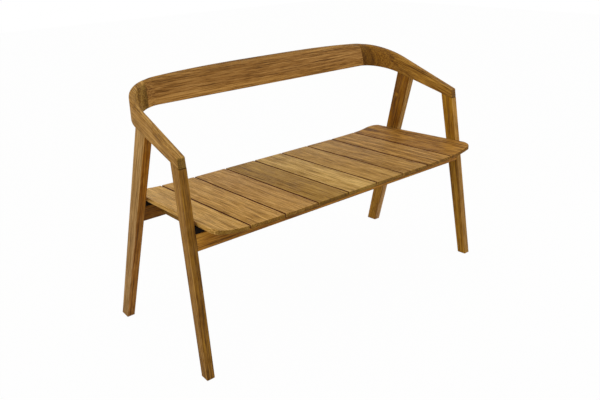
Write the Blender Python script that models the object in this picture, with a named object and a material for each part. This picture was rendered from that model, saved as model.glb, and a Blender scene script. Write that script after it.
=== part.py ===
"""A teak garden bench: two leaning side frames, a curved band for the arms and back, and a slatted seat.

Metres, +Z up. The origin is on the ground, at the middle of the bench. +X is the bench's right as it faces
-Y, the side that people sit down from. The right half is described, and the left half mirrors it.
"""
import math

import bpy
import bmesh
from mathutils import Vector

# Clearances between touching pieces
SEAM = 0.0003

# Legs: the foot's outer face and front edge, and how each leg leans and grows from foot to arm
FOOT_HALF_WIDTH = 0.650
STOCK = 0.028
FRONT_FOOT_Y = -0.2690
FRONT_FOOT_DEPTH = 0.035
FRONT_LEG_RAKE = 0.147
FRONT_LEG_GROWTH = 0.019
REAR_FOOT_Y = 0.2380
REAR_FOOT_DEPTH = 0.046
REAR_LEG_RAKE = -0.2994
REAR_LEG_GROWTH = 0.030
LEG_ARRIS = 0.0028
FOOT_ARRIS = 0.0025

# Band of arms and back: an upright board bent round two corners, cut by a sloping plane above and below
ARM_END_X = 0.6273
ARM_END_Y = -0.170
ARM_TOE_IN = 0.0613
BACK_REAR_Y = 0.2235
CORNER_RADIUS = 0.150
UNDERSIDE_AT_END = 0.644
UNDERSIDE_SLOPE = 0.2663
ARM_DEPTH_AT_END = 0.032
TOP_SLOPE = 0.388
BACK_CROWN = 0.0137
CROWN_POWER = 3
JOINT_PAST_BEND = 0.0364
TOP_RECESS = 0.009
CREASE_HEIGHT = 0.6
CREASE_RECESS = 0.2
BAND_ARRIS = 0.0032
ARM_END_ARRIS = 0.004

# Seat: boards that run front to back over the two aprons, and fill the width between the rear legs
SLAT_COUNT = 9
SEAT_LEG_CLEARANCE = 0.0066
EDGE_SLAT_WIDTH = 0.1202
SLAT_GAP = 0.005
SLAT_THICKNESS = 0.012
SLAT_ARRIS = 0.002
SEAT_FRONT_Y = -0.2833
SEAT_REAR_Y = 0.2300
SEAT_FRONT_Z = 0.4596
SEAT_FALL = 0.0087
SEAT_EDGE_FLARE = 0.019
FRONT_EDGE_RISE = 0.0257
REAR_EDGE_RISE = 0.0190
BOARD_TILT = 0.12
EDGE_SWELL = 0.003
FRONT_CORNER_RADIUS = 0.024
FRONT_CORNER_LENGTH = 0.050
REAR_CORNER_RADIUS = 0.042

# Aprons, the rails between them, their tenons, and the rubber pads under the seat's raised edges
APRON_THICKNESS = 0.026
FRONT_APRON_SETBACK = 0.0010
FRONT_APRON_DEPTH = 0.0480
REAR_APRON_SETBACK = 0.0080
REAR_APRON_DEPTH = 0.0525
TENON_LENGTH = 0.018
TENON_THICKNESS = 0.012
TENON_SHOULDER = 0.006
CROSS_RAIL_WIDTH = 0.040
CROSS_RAIL_HEIGHT = 0.030
CROSS_RAIL_TENON = 0.010
CROSS_RAIL_X = 0.513
PAD_UNDER_SEAT = 0.0215
PAD_SETBACK = 0.001

# Small parts
DOWEL_RADIUS = 0.005
DOWEL_LENGTH = 0.040
DOWEL_IN_ARM = 0.016
LOOSE_TENON = (0.050, 0.009, 0.050)
SCREW_SHANK_RADIUS = 0.0021
SCREW_HEAD_RADIUS = 0.0040
SCREW_HEAD_HEIGHT = 0.0026
SCREW_IN_SLAT = 0.0085
SCREW_LENGTH = 0.040
EDGE_SCREW_INSET = 0.018
COUNTERBORE_RADIUS = 0.0050

ROUND_STEPS = 4
CORNER_STEPS = 16
TURNED_SIDES = 12

# Colour (linear), roughness
TEAK = (0.36, 0.19, 0.075, 1.0)
TEAK_PALE = (0.45, 0.26, 0.11, 1.0)
TEAK_DARK = (0.25, 0.115, 0.035, 1.0)
BEECH = (0.55, 0.38, 0.20, 1.0)
STEEL = (0.55, 0.55, 0.53, 1.0)
RUBBER = (0.02, 0.02, 0.022, 1.0)


def clear_scene():
    """Removes what the scene holds."""
    for thing in list(bpy.data.objects):
        bpy.data.objects.remove(thing, do_unlink=True)


def material(name, colour, roughness, metallic=0.0):
    """A plain Principled material, made once for each name."""
    found = bpy.data.materials.get(name)
    if found:
        return found
    made = bpy.data.materials.new(name)
    made.use_nodes = True
    shader = made.node_tree.nodes["Principled BSDF"]
    shader.inputs["Base Color"].default_value = colour
    shader.inputs["Roughness"].default_value = roughness
    shader.inputs["Metallic"].default_value = metallic
    made.diffuse_color = colour
    return made


def wood(name):
    """The teak of one piece, a little lighter or darker than its neighbour's."""
    tone = (TEAK, TEAK_PALE, TEAK_DARK)[sum(map(ord, name)) % 3]
    return material(f"teak_{name}", tone, 0.55)


def lerp(a, b, share):
    """The value that lies share of the way from a to b."""
    return a + (b - a) * share


def rounded(corners, radii, steps=ROUND_STEPS):
    """A closed loop through the corners, each rounded off over its radius along both its edges."""
    loop = []
    count = len(corners)
    for index, corner in enumerate(corners):
        radius = radii[index]
        if radius <= 0:
            loop.append(corner.copy())
            continue
        before = (corners[index - 1] - corner).normalized() * radius + corner
        after = (corners[(index + 1) % count] - corner).normalized() * radius + corner
        for step in range(steps):
            share = step / (steps - 1)
            loop.append(before.lerp(corner, share).lerp(corner.lerp(after, share), share))
    return loop


def solid(name, rings, skin):
    """A closed solid through loops of equal length, with a flat face over the first and the last."""
    mesh = bmesh.new()
    loops = [[mesh.verts.new(point) for point in ring] for ring in rings]
    size = len(loops[0])
    for low, high in zip(loops, loops[1:]):
        for index in range(size):
            follow = (index + 1) % size
            mesh.faces.new((low[index], low[follow], high[follow], high[index]))
    mesh.faces.new(list(reversed(loops[0])))
    mesh.faces.new(loops[-1])
    bmesh.ops.recalc_face_normals(mesh, faces=mesh.faces)
    data = bpy.data.meshes.new(name)
    mesh.to_mesh(data)
    mesh.free()
    data.materials.append(skin)
    data.shade_smooth()
    data.set_sharp_from_angle(angle=math.radians(35))
    piece = bpy.data.objects.new(name, data)
    bpy.context.scene.collection.objects.link(piece)
    return piece


def cut(piece, cutter, operation="DIFFERENCE"):
    """Cuts one solid from another, or joins it on, and keeps the cutter as a hidden guide."""
    change = piece.modifiers.new(cutter.name, "BOOLEAN")
    change.operation = operation
    change.solver = "EXACT"
    change.object = cutter
    cutter.hide_render = True
    cutter.display_type = "WIRE"


def turned(name, profile, base, axis, skin, sides=TURNED_SIDES):
    """A solid of revolution: (radius, height) pairs along an axis from a base point."""
    along = Vector(axis).normalized()
    across = along.orthogonal().normalized()
    beside = along.cross(across)
    rings = []
    for radius, height in profile:
        ring = []
        for index in range(sides):
            angle = math.tau * index / sides
            spoke = across * math.cos(angle) + beside * math.sin(angle)
            ring.append(Vector(base) + along * height + spoke * radius)
        rings.append(ring)
    return solid(name, rings, skin)


# The band's planes and lines


def underside(y):
    """Height of the band's lower plane."""
    return UNDERSIDE_AT_END + UNDERSIDE_SLOPE * (y - ARM_END_Y)


def crown(x):
    """How much the back's top edge swells above the band's upper plane."""
    return BACK_CROWN * max(0.0, 1.0 - abs(x / BACK_JOINT_X) ** CROWN_POWER)


def top(x, y):
    """Height of the band's upper surface."""
    return UNDERSIDE_AT_END + ARM_DEPTH_AT_END + TOP_SLOPE * (y - ARM_END_Y) + crown(x)


TOE = math.hypot(1.0, ARM_TOE_IN)
CORNER_Y = BACK_REAR_Y - CORNER_RADIUS


def arm_x(y, inward):
    """Distance from the centre line to the arm's upright face, or a line that lies inward of it."""
    return ARM_END_X - ARM_TOE_IN * (y - ARM_END_Y) - inward * TOE


CORNER_X = arm_x(CORNER_Y, CORNER_RADIUS)
ARM_ANGLE = math.atan(ARM_TOE_IN)
BACK_JOINT_X = CORNER_X + JOINT_PAST_BEND


def recess(y):
    """How far the inner face has drawn back at its top edge, growing from the arm's end to the corner."""
    return TOP_RECESS * min(1.0, max(0.0, (y - ARM_END_Y) / (CORNER_Y - ARM_END_Y)))


# Lines of the band's section: inward distance, share of the recess, share of the height
BAND_LINES = (
    (0.0, 0.0, 0.0),
    (STOCK, 0.0, 0.0),
    (STOCK, CREASE_RECESS, CREASE_HEIGHT),
    (STOCK, 1.0, 1.0),
    (0.0, 0.0, 1.0),
)
BAND_RADII = (BAND_ARRIS, BAND_ARRIS, 0.0, BAND_ARRIS, BAND_ARRIS)


def band_point(x, y, share):
    """A point of the band above a place on the ground, at a share of its height."""
    return Vector((x, y, lerp(underside(y), top(x, y), share)))


def arm_point(line, y):
    """A point of one section line on the arm's straight run."""
    inward, draw, share = line
    return band_point(arm_x(y, inward - draw * recess(y)), y, share)


def corner_point(line, angle):
    """A point of one section line on the corner, at an angle from the +X direction."""
    inward, draw, share = line
    reach = CORNER_RADIUS - inward + draw * TOP_RECESS
    return band_point(CORNER_X + reach * math.cos(angle), CORNER_Y + reach * math.sin(angle), share)


def joint_angle(line, joint_x):
    """The angle where one section line meets the upright plane of the joint with the back."""
    inward, draw, _ = line
    return math.acos((joint_x - CORNER_X) / (CORNER_RADIUS - inward + draw * TOP_RECESS))


def arm_end_y(line, set_back=0.0):
    """Where one section line meets the plane of the front leg's front face."""
    share = line[2]
    at_zero = lerp(underside(0.0), top(ARM_END_X, 0.0), share)
    slope = lerp(UNDERSIDE_SLOPE, TOP_SLOPE, share)
    return (FRONT_FOOT_Y + set_back + FRONT_LEG_RAKE * at_zero) / (1.0 - FRONT_LEG_RAKE * slope)


def band_ring(points, inset=0.0):
    """The rounded section through the five lines' points, or one drawn in from every side."""
    centre = sum(points, Vector()) / len(points)
    if inset:
        points = [point + (centre - point).normalized() * inset for point in points]
    return rounded(points, BAND_RADII)


def mirrored(rings, side):
    """The rings of the other side's piece, for side -1."""
    return [[Vector((point.x * side, point.y, point.z)) for point in ring] for ring in rings]


def arm(side, name):
    """One arm with its corner, from the front leg's face to the joint with the back."""
    rings = [band_ring([arm_point(line, arm_end_y(line)) for line in BAND_LINES], ARM_END_ARRIS)]
    straight_end = CORNER_Y
    for share in (0.0, 0.25, 0.5, 0.75):
        points = []
        for line in BAND_LINES:
            start = arm_end_y(line, ARM_END_ARRIS)
            points.append(arm_point(line, lerp(start, straight_end, share)))
        rings.append(band_ring(points))
    for step in range(CORNER_STEPS + 1):
        share = step / CORNER_STEPS
        points = []
        for line in BAND_LINES:
            last = joint_angle(line, BACK_JOINT_X + SEAM / 2)
            points.append(corner_point(line, lerp(ARM_ANGLE, last, share)))
        rings.append(band_ring(points))
    return solid(name, mirrored(rings, side), wood(name))


def back_rail():
    """The long back piece between the two corners, with its ends just turning into them."""
    half = []
    turn_steps = 3
    for step in range(turn_steps):
        share = step / turn_steps
        points = []
        for line in BAND_LINES:
            first = joint_angle(line, BACK_JOINT_X - SEAM / 2)
            points.append(corner_point(line, lerp(first, math.pi / 2, share)))
        half.append(band_ring(points))
    run_steps = 6
    for step in range(run_steps):
        x = CORNER_X * (1 - step / run_steps)
        points = []
        for inward, draw, share in BAND_LINES:
            points.append(band_point(x, BACK_REAR_Y - inward + draw * TOP_RECESS, share))
        half.append(band_ring(points))
    middle = []
    for inward, draw, share in BAND_LINES:
        middle.append(band_point(0.0, BACK_REAR_Y - inward + draw * TOP_RECESS, share))
    rings = half + [band_ring(middle)] + mirrored(reversed(half), -1)
    return solid("back_rail", rings, wood("back_rail"))


# Legs


def leg_y(front, z):
    """The front and rear faces of a leg at a height."""
    if front:
        face = FRONT_FOOT_Y + FRONT_LEG_RAKE * z
        return face, face + FRONT_FOOT_DEPTH + FRONT_LEG_GROWTH * z
    face = REAR_FOOT_Y + REAR_LEG_RAKE * z
    return face, face + REAR_FOOT_DEPTH + REAR_LEG_GROWTH * z


def leg_top(front, rear_face, drop=0.0):
    """Where a leg's front or rear face meets the band's underside: its y and z."""
    low, high = leg_y(front, 0.0)[rear_face], leg_y(front, 1.0)[rear_face]
    rake = high - low
    z = (underside(low) - SEAM - drop) / (1.0 - UNDERSIDE_SLOPE * rake)
    return low + rake * z, z


def leg_x(front, y, z, inward):
    """Distance from the centre line to a leg's outer face, or a plane inward of it.

    The foot's outer front corner is given, and the head is flush with the arm's outer face.
    """
    foot_y = leg_y(front, 0.0)[0]
    head_y, head_z = leg_top(front, 0)
    lean = (FOOT_HALF_WIDTH - ARM_TOE_IN * (head_y - foot_y) - arm_x(head_y, 0.0)) / head_z
    return FOOT_HALF_WIDTH - ARM_TOE_IN * (y - foot_y) - lean * z - inward


def leg_corners(front, share):
    """The four corners of a leg's section at a share of its height, outer front first."""
    corners = []
    for rear_face, inward in ((0, 0.0), (1, 0.0), (1, STOCK), (0, STOCK)):
        foot_y = leg_y(front, 0.0)[rear_face]
        head_y, head_z = leg_top(front, rear_face)
        foot = Vector((leg_x(front, foot_y, 0.0, inward), foot_y, 0.0))
        head = Vector((leg_x(front, head_y, head_z, inward), head_y, head_z))
        corners.append(foot.lerp(head, share))
    return corners


def leg(side, front, name):
    """One leg, square to the ground at its foot and cut to the band's slope at its head."""
    radii = (LEG_ARRIS,) * 4
    corners = leg_corners(front, 0.0)
    centre = sum(corners, Vector()) / 4
    sole = [corner + (centre - corner).normalized() * FOOT_ARRIS * math.sqrt(2) for corner in corners]
    rings = [rounded(sole, radii)]
    head_z = leg_corners(front, 1.0)[0].z
    rings.append(rounded(leg_corners(front, FOOT_ARRIS / head_z), radii))
    rings.append(rounded(leg_corners(front, 1.0), radii))
    return solid(name, mirrored(rings, side), wood(name))


# Seat


def seat_edge_x(y):
    """Distance from the centre line to the seat's outer edge, clear of the rear legs and wider at the front."""
    leg_rear_y = leg_y(False, SEAT_FRONT_Z)[1]
    inner_face = leg_x(False, leg_rear_y, SEAT_FRONT_Z, STOCK)
    return inner_face - SEAT_LEG_CLEARANCE - SEAT_EDGE_FLARE * (y - leg_rear_y)


SEAT_EDGE_X = seat_edge_x(0.0)
SLAT_PITCH = 2 * (SEAT_EDGE_X - EDGE_SLAT_WIDTH - SLAT_GAP / 2) / (SLAT_COUNT - 2)
EDGE_SLAT_X = SEAT_EDGE_X - EDGE_SLAT_WIDTH
TILT_FROM_X = (SLAT_COUNT / 2 - 2) * SLAT_PITCH
LEVEL_FROM_X = TILT_FROM_X + SLAT_PITCH


def seat_top(x, y):
    """Height of the seat's upper surface at a place.

    It falls a little to the rear. The board next to each end tilts up by its share of the edge's rise, and
    the outermost board curves on up to the raised edge.
    """
    share = (y - SEAT_FRONT_Y) / (SEAT_REAR_Y - SEAT_FRONT_Y)
    tilted = max(0.0, (abs(x) - TILT_FROM_X) / SLAT_PITCH)
    edge_tilted = (seat_edge_x(y) - TILT_FROM_X) / SLAT_PITCH
    beyond = max(0.0, (abs(x) - EDGE_SLAT_X) / (seat_edge_x(y) - EDGE_SLAT_X))
    lift = BOARD_TILT * tilted + (1 - BOARD_TILT * edge_tilted) * beyond ** 2
    return SEAT_FRONT_Z - SEAT_FALL * share + lerp(FRONT_EDGE_RISE, REAR_EDGE_RISE, share) * lift


def slat_thickness(x, y):
    """Thickness of the seat at a place: the outermost boards swell a little towards their outer edge."""
    beyond = max(0.0, (abs(x) - EDGE_SLAT_X) / (seat_edge_x(y) - EDGE_SLAT_X))
    return SLAT_THICKNESS + EDGE_SWELL * beyond ** 2


def slat_ring(x, shrink):
    """The rounded upright section of a plain slat, at a distance across the bench."""
    corners = []
    for y, drop in ((SEAT_FRONT_Y + shrink, SLAT_THICKNESS - shrink),
                    (SEAT_REAR_Y - shrink, SLAT_THICKNESS - shrink),
                    (SEAT_REAR_Y - shrink, shrink), (SEAT_FRONT_Y + shrink, shrink)):
        corners.append(Vector((x, y, seat_top(x, y) - drop)))
    return rounded(corners, (SLAT_ARRIS,) * 4)


def edge_slat_ring(reach, shrink):
    """The section of an outermost slat, at a reach from its inner edge to the seat's outer edge (0 to 1)."""
    corners = []
    for y_end, inward, radius, length in ((SEAT_FRONT_Y, 1, FRONT_CORNER_RADIUS, FRONT_CORNER_LENGTH),
                                          (SEAT_REAR_Y, -1, REAR_CORNER_RADIUS, REAR_CORNER_RADIUS)):
        past = max(0.0, (reach - 1) * (seat_edge_x(y_end) - EDGE_SLAT_X) + radius)
        cut_back = length - length / radius * math.sqrt(max(0.0, radius ** 2 - past ** 2))
        y = y_end + inward * (cut_back + shrink)
        x = lerp(EDGE_SLAT_X, seat_edge_x(y), reach)
        height = seat_top(x, y)
        corners.append((Vector((x, y, height - slat_thickness(x, y) + shrink)),
                        Vector((x, y, height - shrink))))
    (front_low, front_high), (rear_low, rear_high) = corners
    return rounded((front_low, rear_low, rear_high, front_high), (SLAT_ARRIS,) * 4)


def slat(number):
    """One seat board. The first and the last curve up to a raised edge with round corners."""
    name = f"seat_slat_{number}"
    centre = (number - (SLAT_COUNT + 1) / 2) * SLAT_PITCH
    half = (SLAT_PITCH - SLAT_GAP) / 2
    rings = []
    if 1 < number < SLAT_COUNT:
        for x, shrink in ((-half, SLAT_ARRIS), (SLAT_ARRIS - half, 0.0),
                          (half - SLAT_ARRIS, 0.0), (half, SLAT_ARRIS)):
            rings.append(slat_ring(centre + x, shrink))
        return solid(name, rings, wood(name))
    turn = [1 - REAR_CORNER_RADIUS / EDGE_SLAT_WIDTH * (1 - math.sin(math.radians(angle)))
            for angle in (0, 16, 31, 45, 58, 69)]
    rings.append(edge_slat_ring(0.0, SLAT_ARRIS))
    for reach in [SLAT_ARRIS / EDGE_SLAT_WIDTH, 0.15, 0.3, 0.45] + turn + [1 - SLAT_ARRIS / EDGE_SLAT_WIDTH]:
        rings.append(edge_slat_ring(reach, 0.0))
    rings.append(edge_slat_ring(1.0, SLAT_ARRIS))
    return solid(name, mirrored(rings, math.copysign(1, centre)), wood(name))


# Aprons and the rails between them


def apron_face(front, z):
    """The front face of an apron at a height, parallel to the front face of the legs that hold it."""
    return leg_y(front, z)[0] + (FRONT_APRON_SETBACK if front else REAR_APRON_SETBACK)


def apron_rake(front):
    """How much an apron leans towards the rear for each metre of height."""
    return FRONT_LEG_RAKE if front else REAR_LEG_RAKE


def under_seat(y, x=0.0):
    """Height of the seat boards' underside, less the seam, at a place that isn't past the tilted boards."""
    return seat_top(min(abs(x), LEVEL_FROM_X), y) - SLAT_THICKNESS - SEAM


def apron_top(front, behind, x=0.0):
    """Where a line that lies behind an apron's front face meets the underside of the seat: y and z.

    Past the tilted boards an apron's top runs level with their outer edge.
    """
    rake = apron_rake(front)
    foot = apron_face(front, 0.0) + behind
    fall = under_seat(0.0, x) - under_seat(1.0, x)
    z = (under_seat(0.0, x) - fall * foot) / (1.0 + fall * rake)
    return foot + rake * z, z


def apron_bottom(front):
    """Height of an apron's lower edge."""
    return apron_top(front, 0.0)[1] - (FRONT_APRON_DEPTH if front else REAR_APRON_DEPTH)


def leaning_box(name, front, behind, thickness, z_range, ends, skin):
    """A board that leans with an apron: from its face to a thickness behind, between two slanted ends.

    ends(y, z) gives the lowest and highest x, and z_range the lower and the upper height.
    """
    low_z, high_z = z_range
    corners = []
    for depth, z in ((behind, low_z), (behind + thickness, low_z),
                     (behind + thickness, high_z), (behind, high_z)):
        corners.append((apron_face(front, z) + depth, z))
    rings = []
    for end in (0, 1):
        rings.append([Vector((ends(y, z)[end], y, z)) for y, z in corners])
    return solid(name, rings, skin)


def between_legs(front, clearance):
    """The ends of a board that fits between the inner faces of two legs."""
    def ends(y, z):
        x = leg_x(front, y, z, STOCK) - clearance
        return -x, x
    return ends


def apron_ring(front, x):
    """An apron's upright section at a distance across the bench, or against a leg for x None."""
    low = apron_bottom(front)
    high_x = LEVEL_FROM_X if x is None else x
    corners = [(apron_face(front, low), low), (apron_face(front, low) + APRON_THICKNESS, low),
               apron_top(front, APRON_THICKNESS, high_x), apron_top(front, 0.0, high_x)]
    ends = between_legs(front, SEAM)
    return [Vector((ends(y, z)[1] if x is None else x, y, z)) for y, z in corners]


def apron(front, name):
    """One apron, cut to the seat's rise and shouldered against the legs, with a tenon at each end."""
    skin = wood(name)
    half = [apron_ring(front, x) for x in (None, LEVEL_FROM_X, TILT_FROM_X)]
    other = [[Vector((-point.x, point.y, point.z)) for point in ring] for ring in reversed(half)]
    board = solid(name, half + other, skin)
    low = apron_bottom(front) + TENON_SHOULDER
    high = under_seat(apron_face(front, low)) - TENON_SHOULDER
    behind = (APRON_THICKNESS - TENON_THICKNESS) / 2
    tenon = leaning_box(f"{name}_tenons", front, behind, TENON_THICKNESS, (low, high),
                        between_legs(front, -TENON_LENGTH), skin)
    cut(board, tenon, "UNION")
    return board


def mortise(front, name):
    """The cutter for both legs' mortises: the apron's tenon with its clearance."""
    low = apron_bottom(front) + TENON_SHOULDER - SEAM
    high = under_seat(apron_face(front, low + SEAM)) - TENON_SHOULDER + SEAM
    behind = (APRON_THICKNESS - TENON_THICKNESS) / 2 - SEAM
    return leaning_box(name, front, behind, TENON_THICKNESS + 2 * SEAM, (low, high),
                       between_legs(front, -TENON_LENGTH - SEAM), material("guide", STEEL, 0.5))


def cross_rail_box(name, x, grow, tenon, skin):
    """A rail's body or its two stub tenons, from the front apron to the rear one."""
    high = under_seat(SEAT_REAR_Y) - TENON_SHOULDER + (grow - tenon * TENON_SHOULDER / 2)
    low = high - CROSS_RAIL_HEIGHT - grow * 2 + tenon * TENON_SHOULDER
    half = CROSS_RAIL_WIDTH / 2 + grow - tenon * TENON_SHOULDER
    reach = (CROSS_RAIL_TENON + grow) if tenon else -SEAM
    rings = []
    for z in (low, high):
        front = apron_face(True, z) + APRON_THICKNESS - reach
        rear = apron_face(False, z) + reach
        rings.append([Vector((x + dx, y, z)) for dx, y in
                      ((-half, front), (half, front), (half, rear), (-half, rear))])
    return solid(name, rings, skin)


def screw_axis(front, x):
    """The centre line of a slat screw: the middle of the apron's thickness, leaning with it."""
    direction = Vector((0.0, apron_rake(front), 1.0)).normalized()
    y, z = apron_top(front, APRON_THICKNESS / 2, x)
    return Vector((x, y, z)), direction


def screw_profile(clearance):
    """Radius and height pairs of a pan-headed screw, from the head's face to the blunt tip."""
    head = SCREW_IN_SLAT - SCREW_LENGTH
    return [
        (SCREW_HEAD_RADIUS + clearance, head - SCREW_HEAD_HEIGHT),
        (SCREW_HEAD_RADIUS + clearance, head),
        (SCREW_SHANK_RADIUS + clearance, head + (SEAM if clearance else 0.0)),
        (SCREW_SHANK_RADIUS + clearance, SCREW_IN_SLAT + clearance),
    ]


def screw_hole_profile():
    """The counterbore that the head goes up, and the shank's hole through apron and slat."""
    head = SCREW_IN_SLAT - SCREW_LENGTH
    return [
        (COUNTERBORE_RADIUS, -0.080),
        (COUNTERBORE_RADIUS, head + SEAM),
        (SCREW_SHANK_RADIUS + SEAM, head + SEAM + 0.00001),
        (SCREW_SHANK_RADIUS + SEAM, SCREW_IN_SLAT + SEAM),
    ]


def fasten_slats(front, board, slats):
    """One screw up through an apron into each slat, with its counterbored hole."""
    steel = material("stainless_screw", STEEL, 0.35, 1.0)
    guide = material("guide", STEEL, 0.5)
    word = "front" if front else "rear"
    for number, board_above in enumerate(slats, start=1):
        x = (number - (SLAT_COUNT + 1) / 2) * SLAT_PITCH
        if number in (1, SLAT_COUNT):
            x = math.copysign(EDGE_SLAT_X + EDGE_SCREW_INSET, x)
        base, direction = screw_axis(front, x)
        turned(f"slat_screw_{word}_{number}", screw_profile(0.0), base, direction, steel)
        hole = turned(f"guide_screw_{word}_{number}", screw_hole_profile(), base, direction, guide)
        cut(board, hole)
        cut(board_above, hole)


def seat_pad(side, front, name):
    """A rubber pad on an apron's top, under the raised edge of the outermost board and on to the leg."""
    rings = []
    for inward in (PAD_UNDER_SEAT, PAD_UNDER_SEAT / 2, 0.0, None):
        rows = []
        for depth in (PAD_SETBACK, APRON_THICKNESS - PAD_SETBACK):
            y, low = apron_top(front, depth, SEAT_EDGE_X)
            under_x = seat_edge_x(y) - (inward or 0.0)
            row = []
            for z in (low + SEAM, seat_top(under_x, y) - slat_thickness(under_x, y) - SEAM):
                x = leg_x(front, y, z, STOCK) - SEAM if inward is None else under_x
                row.append(Vector((x * side, y, z)))
            rows.append(row)
        rings.append((rows[0][0], rows[1][0], rows[1][1], rows[0][1]))
    return solid(name, rings, material("rubber_pad", RUBBER, 0.75))


def dowel(name, centre, axis, pieces):
    """A beech dowel, with holes in the two pieces that it joins."""
    length = DOWEL_LENGTH
    start = Vector(centre) - Vector(axis).normalized() * (length - DOWEL_IN_ARM)
    chamfer = DOWEL_RADIUS / 4
    pin_profile = [(DOWEL_RADIUS - chamfer, 0.0), (DOWEL_RADIUS, chamfer),
                   (DOWEL_RADIUS, length - chamfer), (DOWEL_RADIUS - chamfer, length)]
    hole_profile = [(DOWEL_RADIUS + SEAM, -SEAM * 3), (DOWEL_RADIUS + SEAM, length + SEAM * 3)]
    turned(name, pin_profile, start, axis, material("beech_dowel", BEECH, 0.6))
    hole = turned(f"guide_{name}", hole_profile, start, axis, material("guide", STEEL, 0.5))
    for piece in pieces:
        cut(piece, hole)


def leg_dowels(side, front, leg_piece, arm_piece, name):
    """The dowels between a leg's head and the arm: one in a front leg, two in a deeper rear leg."""
    corners = leg_corners(front, 1.0)
    shares = (0.5,) if front else (0.28, 0.72)
    for number, share in enumerate(shares, start=1):
        centre = (corners[0].lerp(corners[1], share) + corners[3].lerp(corners[2], share)) / 2
        centre.x *= side
        suffix = f"_{number}" if len(shares) > 1 else ""
        dowel(f"{name}{suffix}", centre, (0.0, 0.0, 1.0), (leg_piece, arm_piece))


def box(name, low, high, skin):
    """A plain block between two corners."""
    rings = []
    for z in (low.z, high.z):
        rings.append([Vector((x, y, z)) for x, y in
                      ((low.x, low.y), (high.x, low.y), (high.x, high.y), (low.x, high.y))])
    return solid(name, rings, skin)


def back_joint(side, name, pieces):
    """The loose tenon between a corner and the back piece, and the slots that hold it."""
    half = Vector(LOOSE_TENON) / 2
    turn = math.acos((BACK_JOINT_X - CORNER_X) / CORNER_RADIUS)
    y = CORNER_Y + CORNER_RADIUS * math.sin(turn) - STOCK / 2
    z = lerp(underside(y), top(BACK_JOINT_X, y), 0.45)
    centre = Vector((BACK_JOINT_X * side, y, z))
    box(name, centre - half, centre + half, material("beech_dowel", BEECH, 0.6))
    room = half + Vector((SEAM, SEAM, SEAM))
    slot = box(f"guide_{name}", centre - room, centre + room, material("guide", STEEL, 0.5))
    for piece in pieces:
        cut(piece, slot)


def cross_rail(name, x, aprons):
    """One rail from apron to apron, with a stub tenon in each."""
    skin = wood(name)
    body = cross_rail_box(name, x, 0.0, False, skin)
    stub = cross_rail_box(f"{name}_tenons", x, 0.0, True, skin)
    cut(body, stub, "UNION")
    hole = cross_rail_box(f"guide_{name}", x, SEAM, True, material("guide", STEEL, 0.5))
    for piece in aprons:
        cut(piece, hole)


def main():
    """Makes every piece of the bench."""
    clear_scene()
    arms, legs, aprons = {}, {}, {}
    for side, word in ((-1, "left"), (1, "right")):
        arms[side] = arm(side, f"arm_{word}")
        for front, end in ((True, "front"), (False, "rear")):
            legs[side, front] = leg(side, front, f"leg_{end}_{word}")
            leg_dowels(side, front, legs[side, front], arms[side], f"arm_dowel_{end}_{word}")
            seat_pad(side, front, f"seat_pad_{end}_{word}")
    back = back_rail()
    for side, word in ((-1, "left"), (1, "right")):
        back_joint(side, f"back_tenon_{word}", (arms[side], back))
    slats = [slat(number) for number in range(1, SLAT_COUNT + 1)]
    for front, word in ((True, "front"), (False, "rear")):
        aprons[front] = apron(front, f"apron_{word}")
        sockets = mortise(front, f"guide_mortises_{word}")
        for side in (-1, 1):
            cut(legs[side, front], sockets)
        fasten_slats(front, aprons[front], slats)
    for side, word in ((-1, "left"), (1, "right")):
        cross_rail(f"cross_rail_{word}", side * CROSS_RAIL_X, aprons.values())


main()
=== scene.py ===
"""Finishes the teak garden bench: rounded boards and curved arms in oiled teak, in a plain studio."""
import math

import bmesh
import bpy
from bpy.props import FloatProperty, FloatVectorProperty, IntProperty, PointerProperty
from mathutils import Matrix, Vector


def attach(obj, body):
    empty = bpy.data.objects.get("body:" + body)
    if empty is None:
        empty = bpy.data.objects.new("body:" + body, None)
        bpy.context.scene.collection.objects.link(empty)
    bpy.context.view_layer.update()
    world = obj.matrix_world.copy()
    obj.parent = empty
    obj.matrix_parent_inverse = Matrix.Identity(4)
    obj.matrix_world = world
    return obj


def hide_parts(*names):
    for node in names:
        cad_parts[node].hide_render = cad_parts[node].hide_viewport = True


bl_info = {
    "name": "Teak Garden Bench",
    "version": (1, 0, 0),
    "blender": (4, 5, 0),
    "location": "View3D > Sidebar > Bench",
    "description": "Builds the finished pieces of a teak garden bench and a plain studio around it",
    "category": "Add Mesh",
}

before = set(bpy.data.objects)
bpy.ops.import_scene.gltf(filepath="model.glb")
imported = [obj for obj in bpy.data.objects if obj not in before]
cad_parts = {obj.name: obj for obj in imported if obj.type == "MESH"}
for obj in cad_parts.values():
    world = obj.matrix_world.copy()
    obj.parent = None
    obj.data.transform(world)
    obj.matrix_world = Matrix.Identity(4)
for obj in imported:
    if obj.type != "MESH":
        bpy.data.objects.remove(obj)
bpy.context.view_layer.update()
SIDES = ((-1, "left"), (1, "right"))
WHITE = (1.0, 1.0, 1.0)

# Settings


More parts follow.
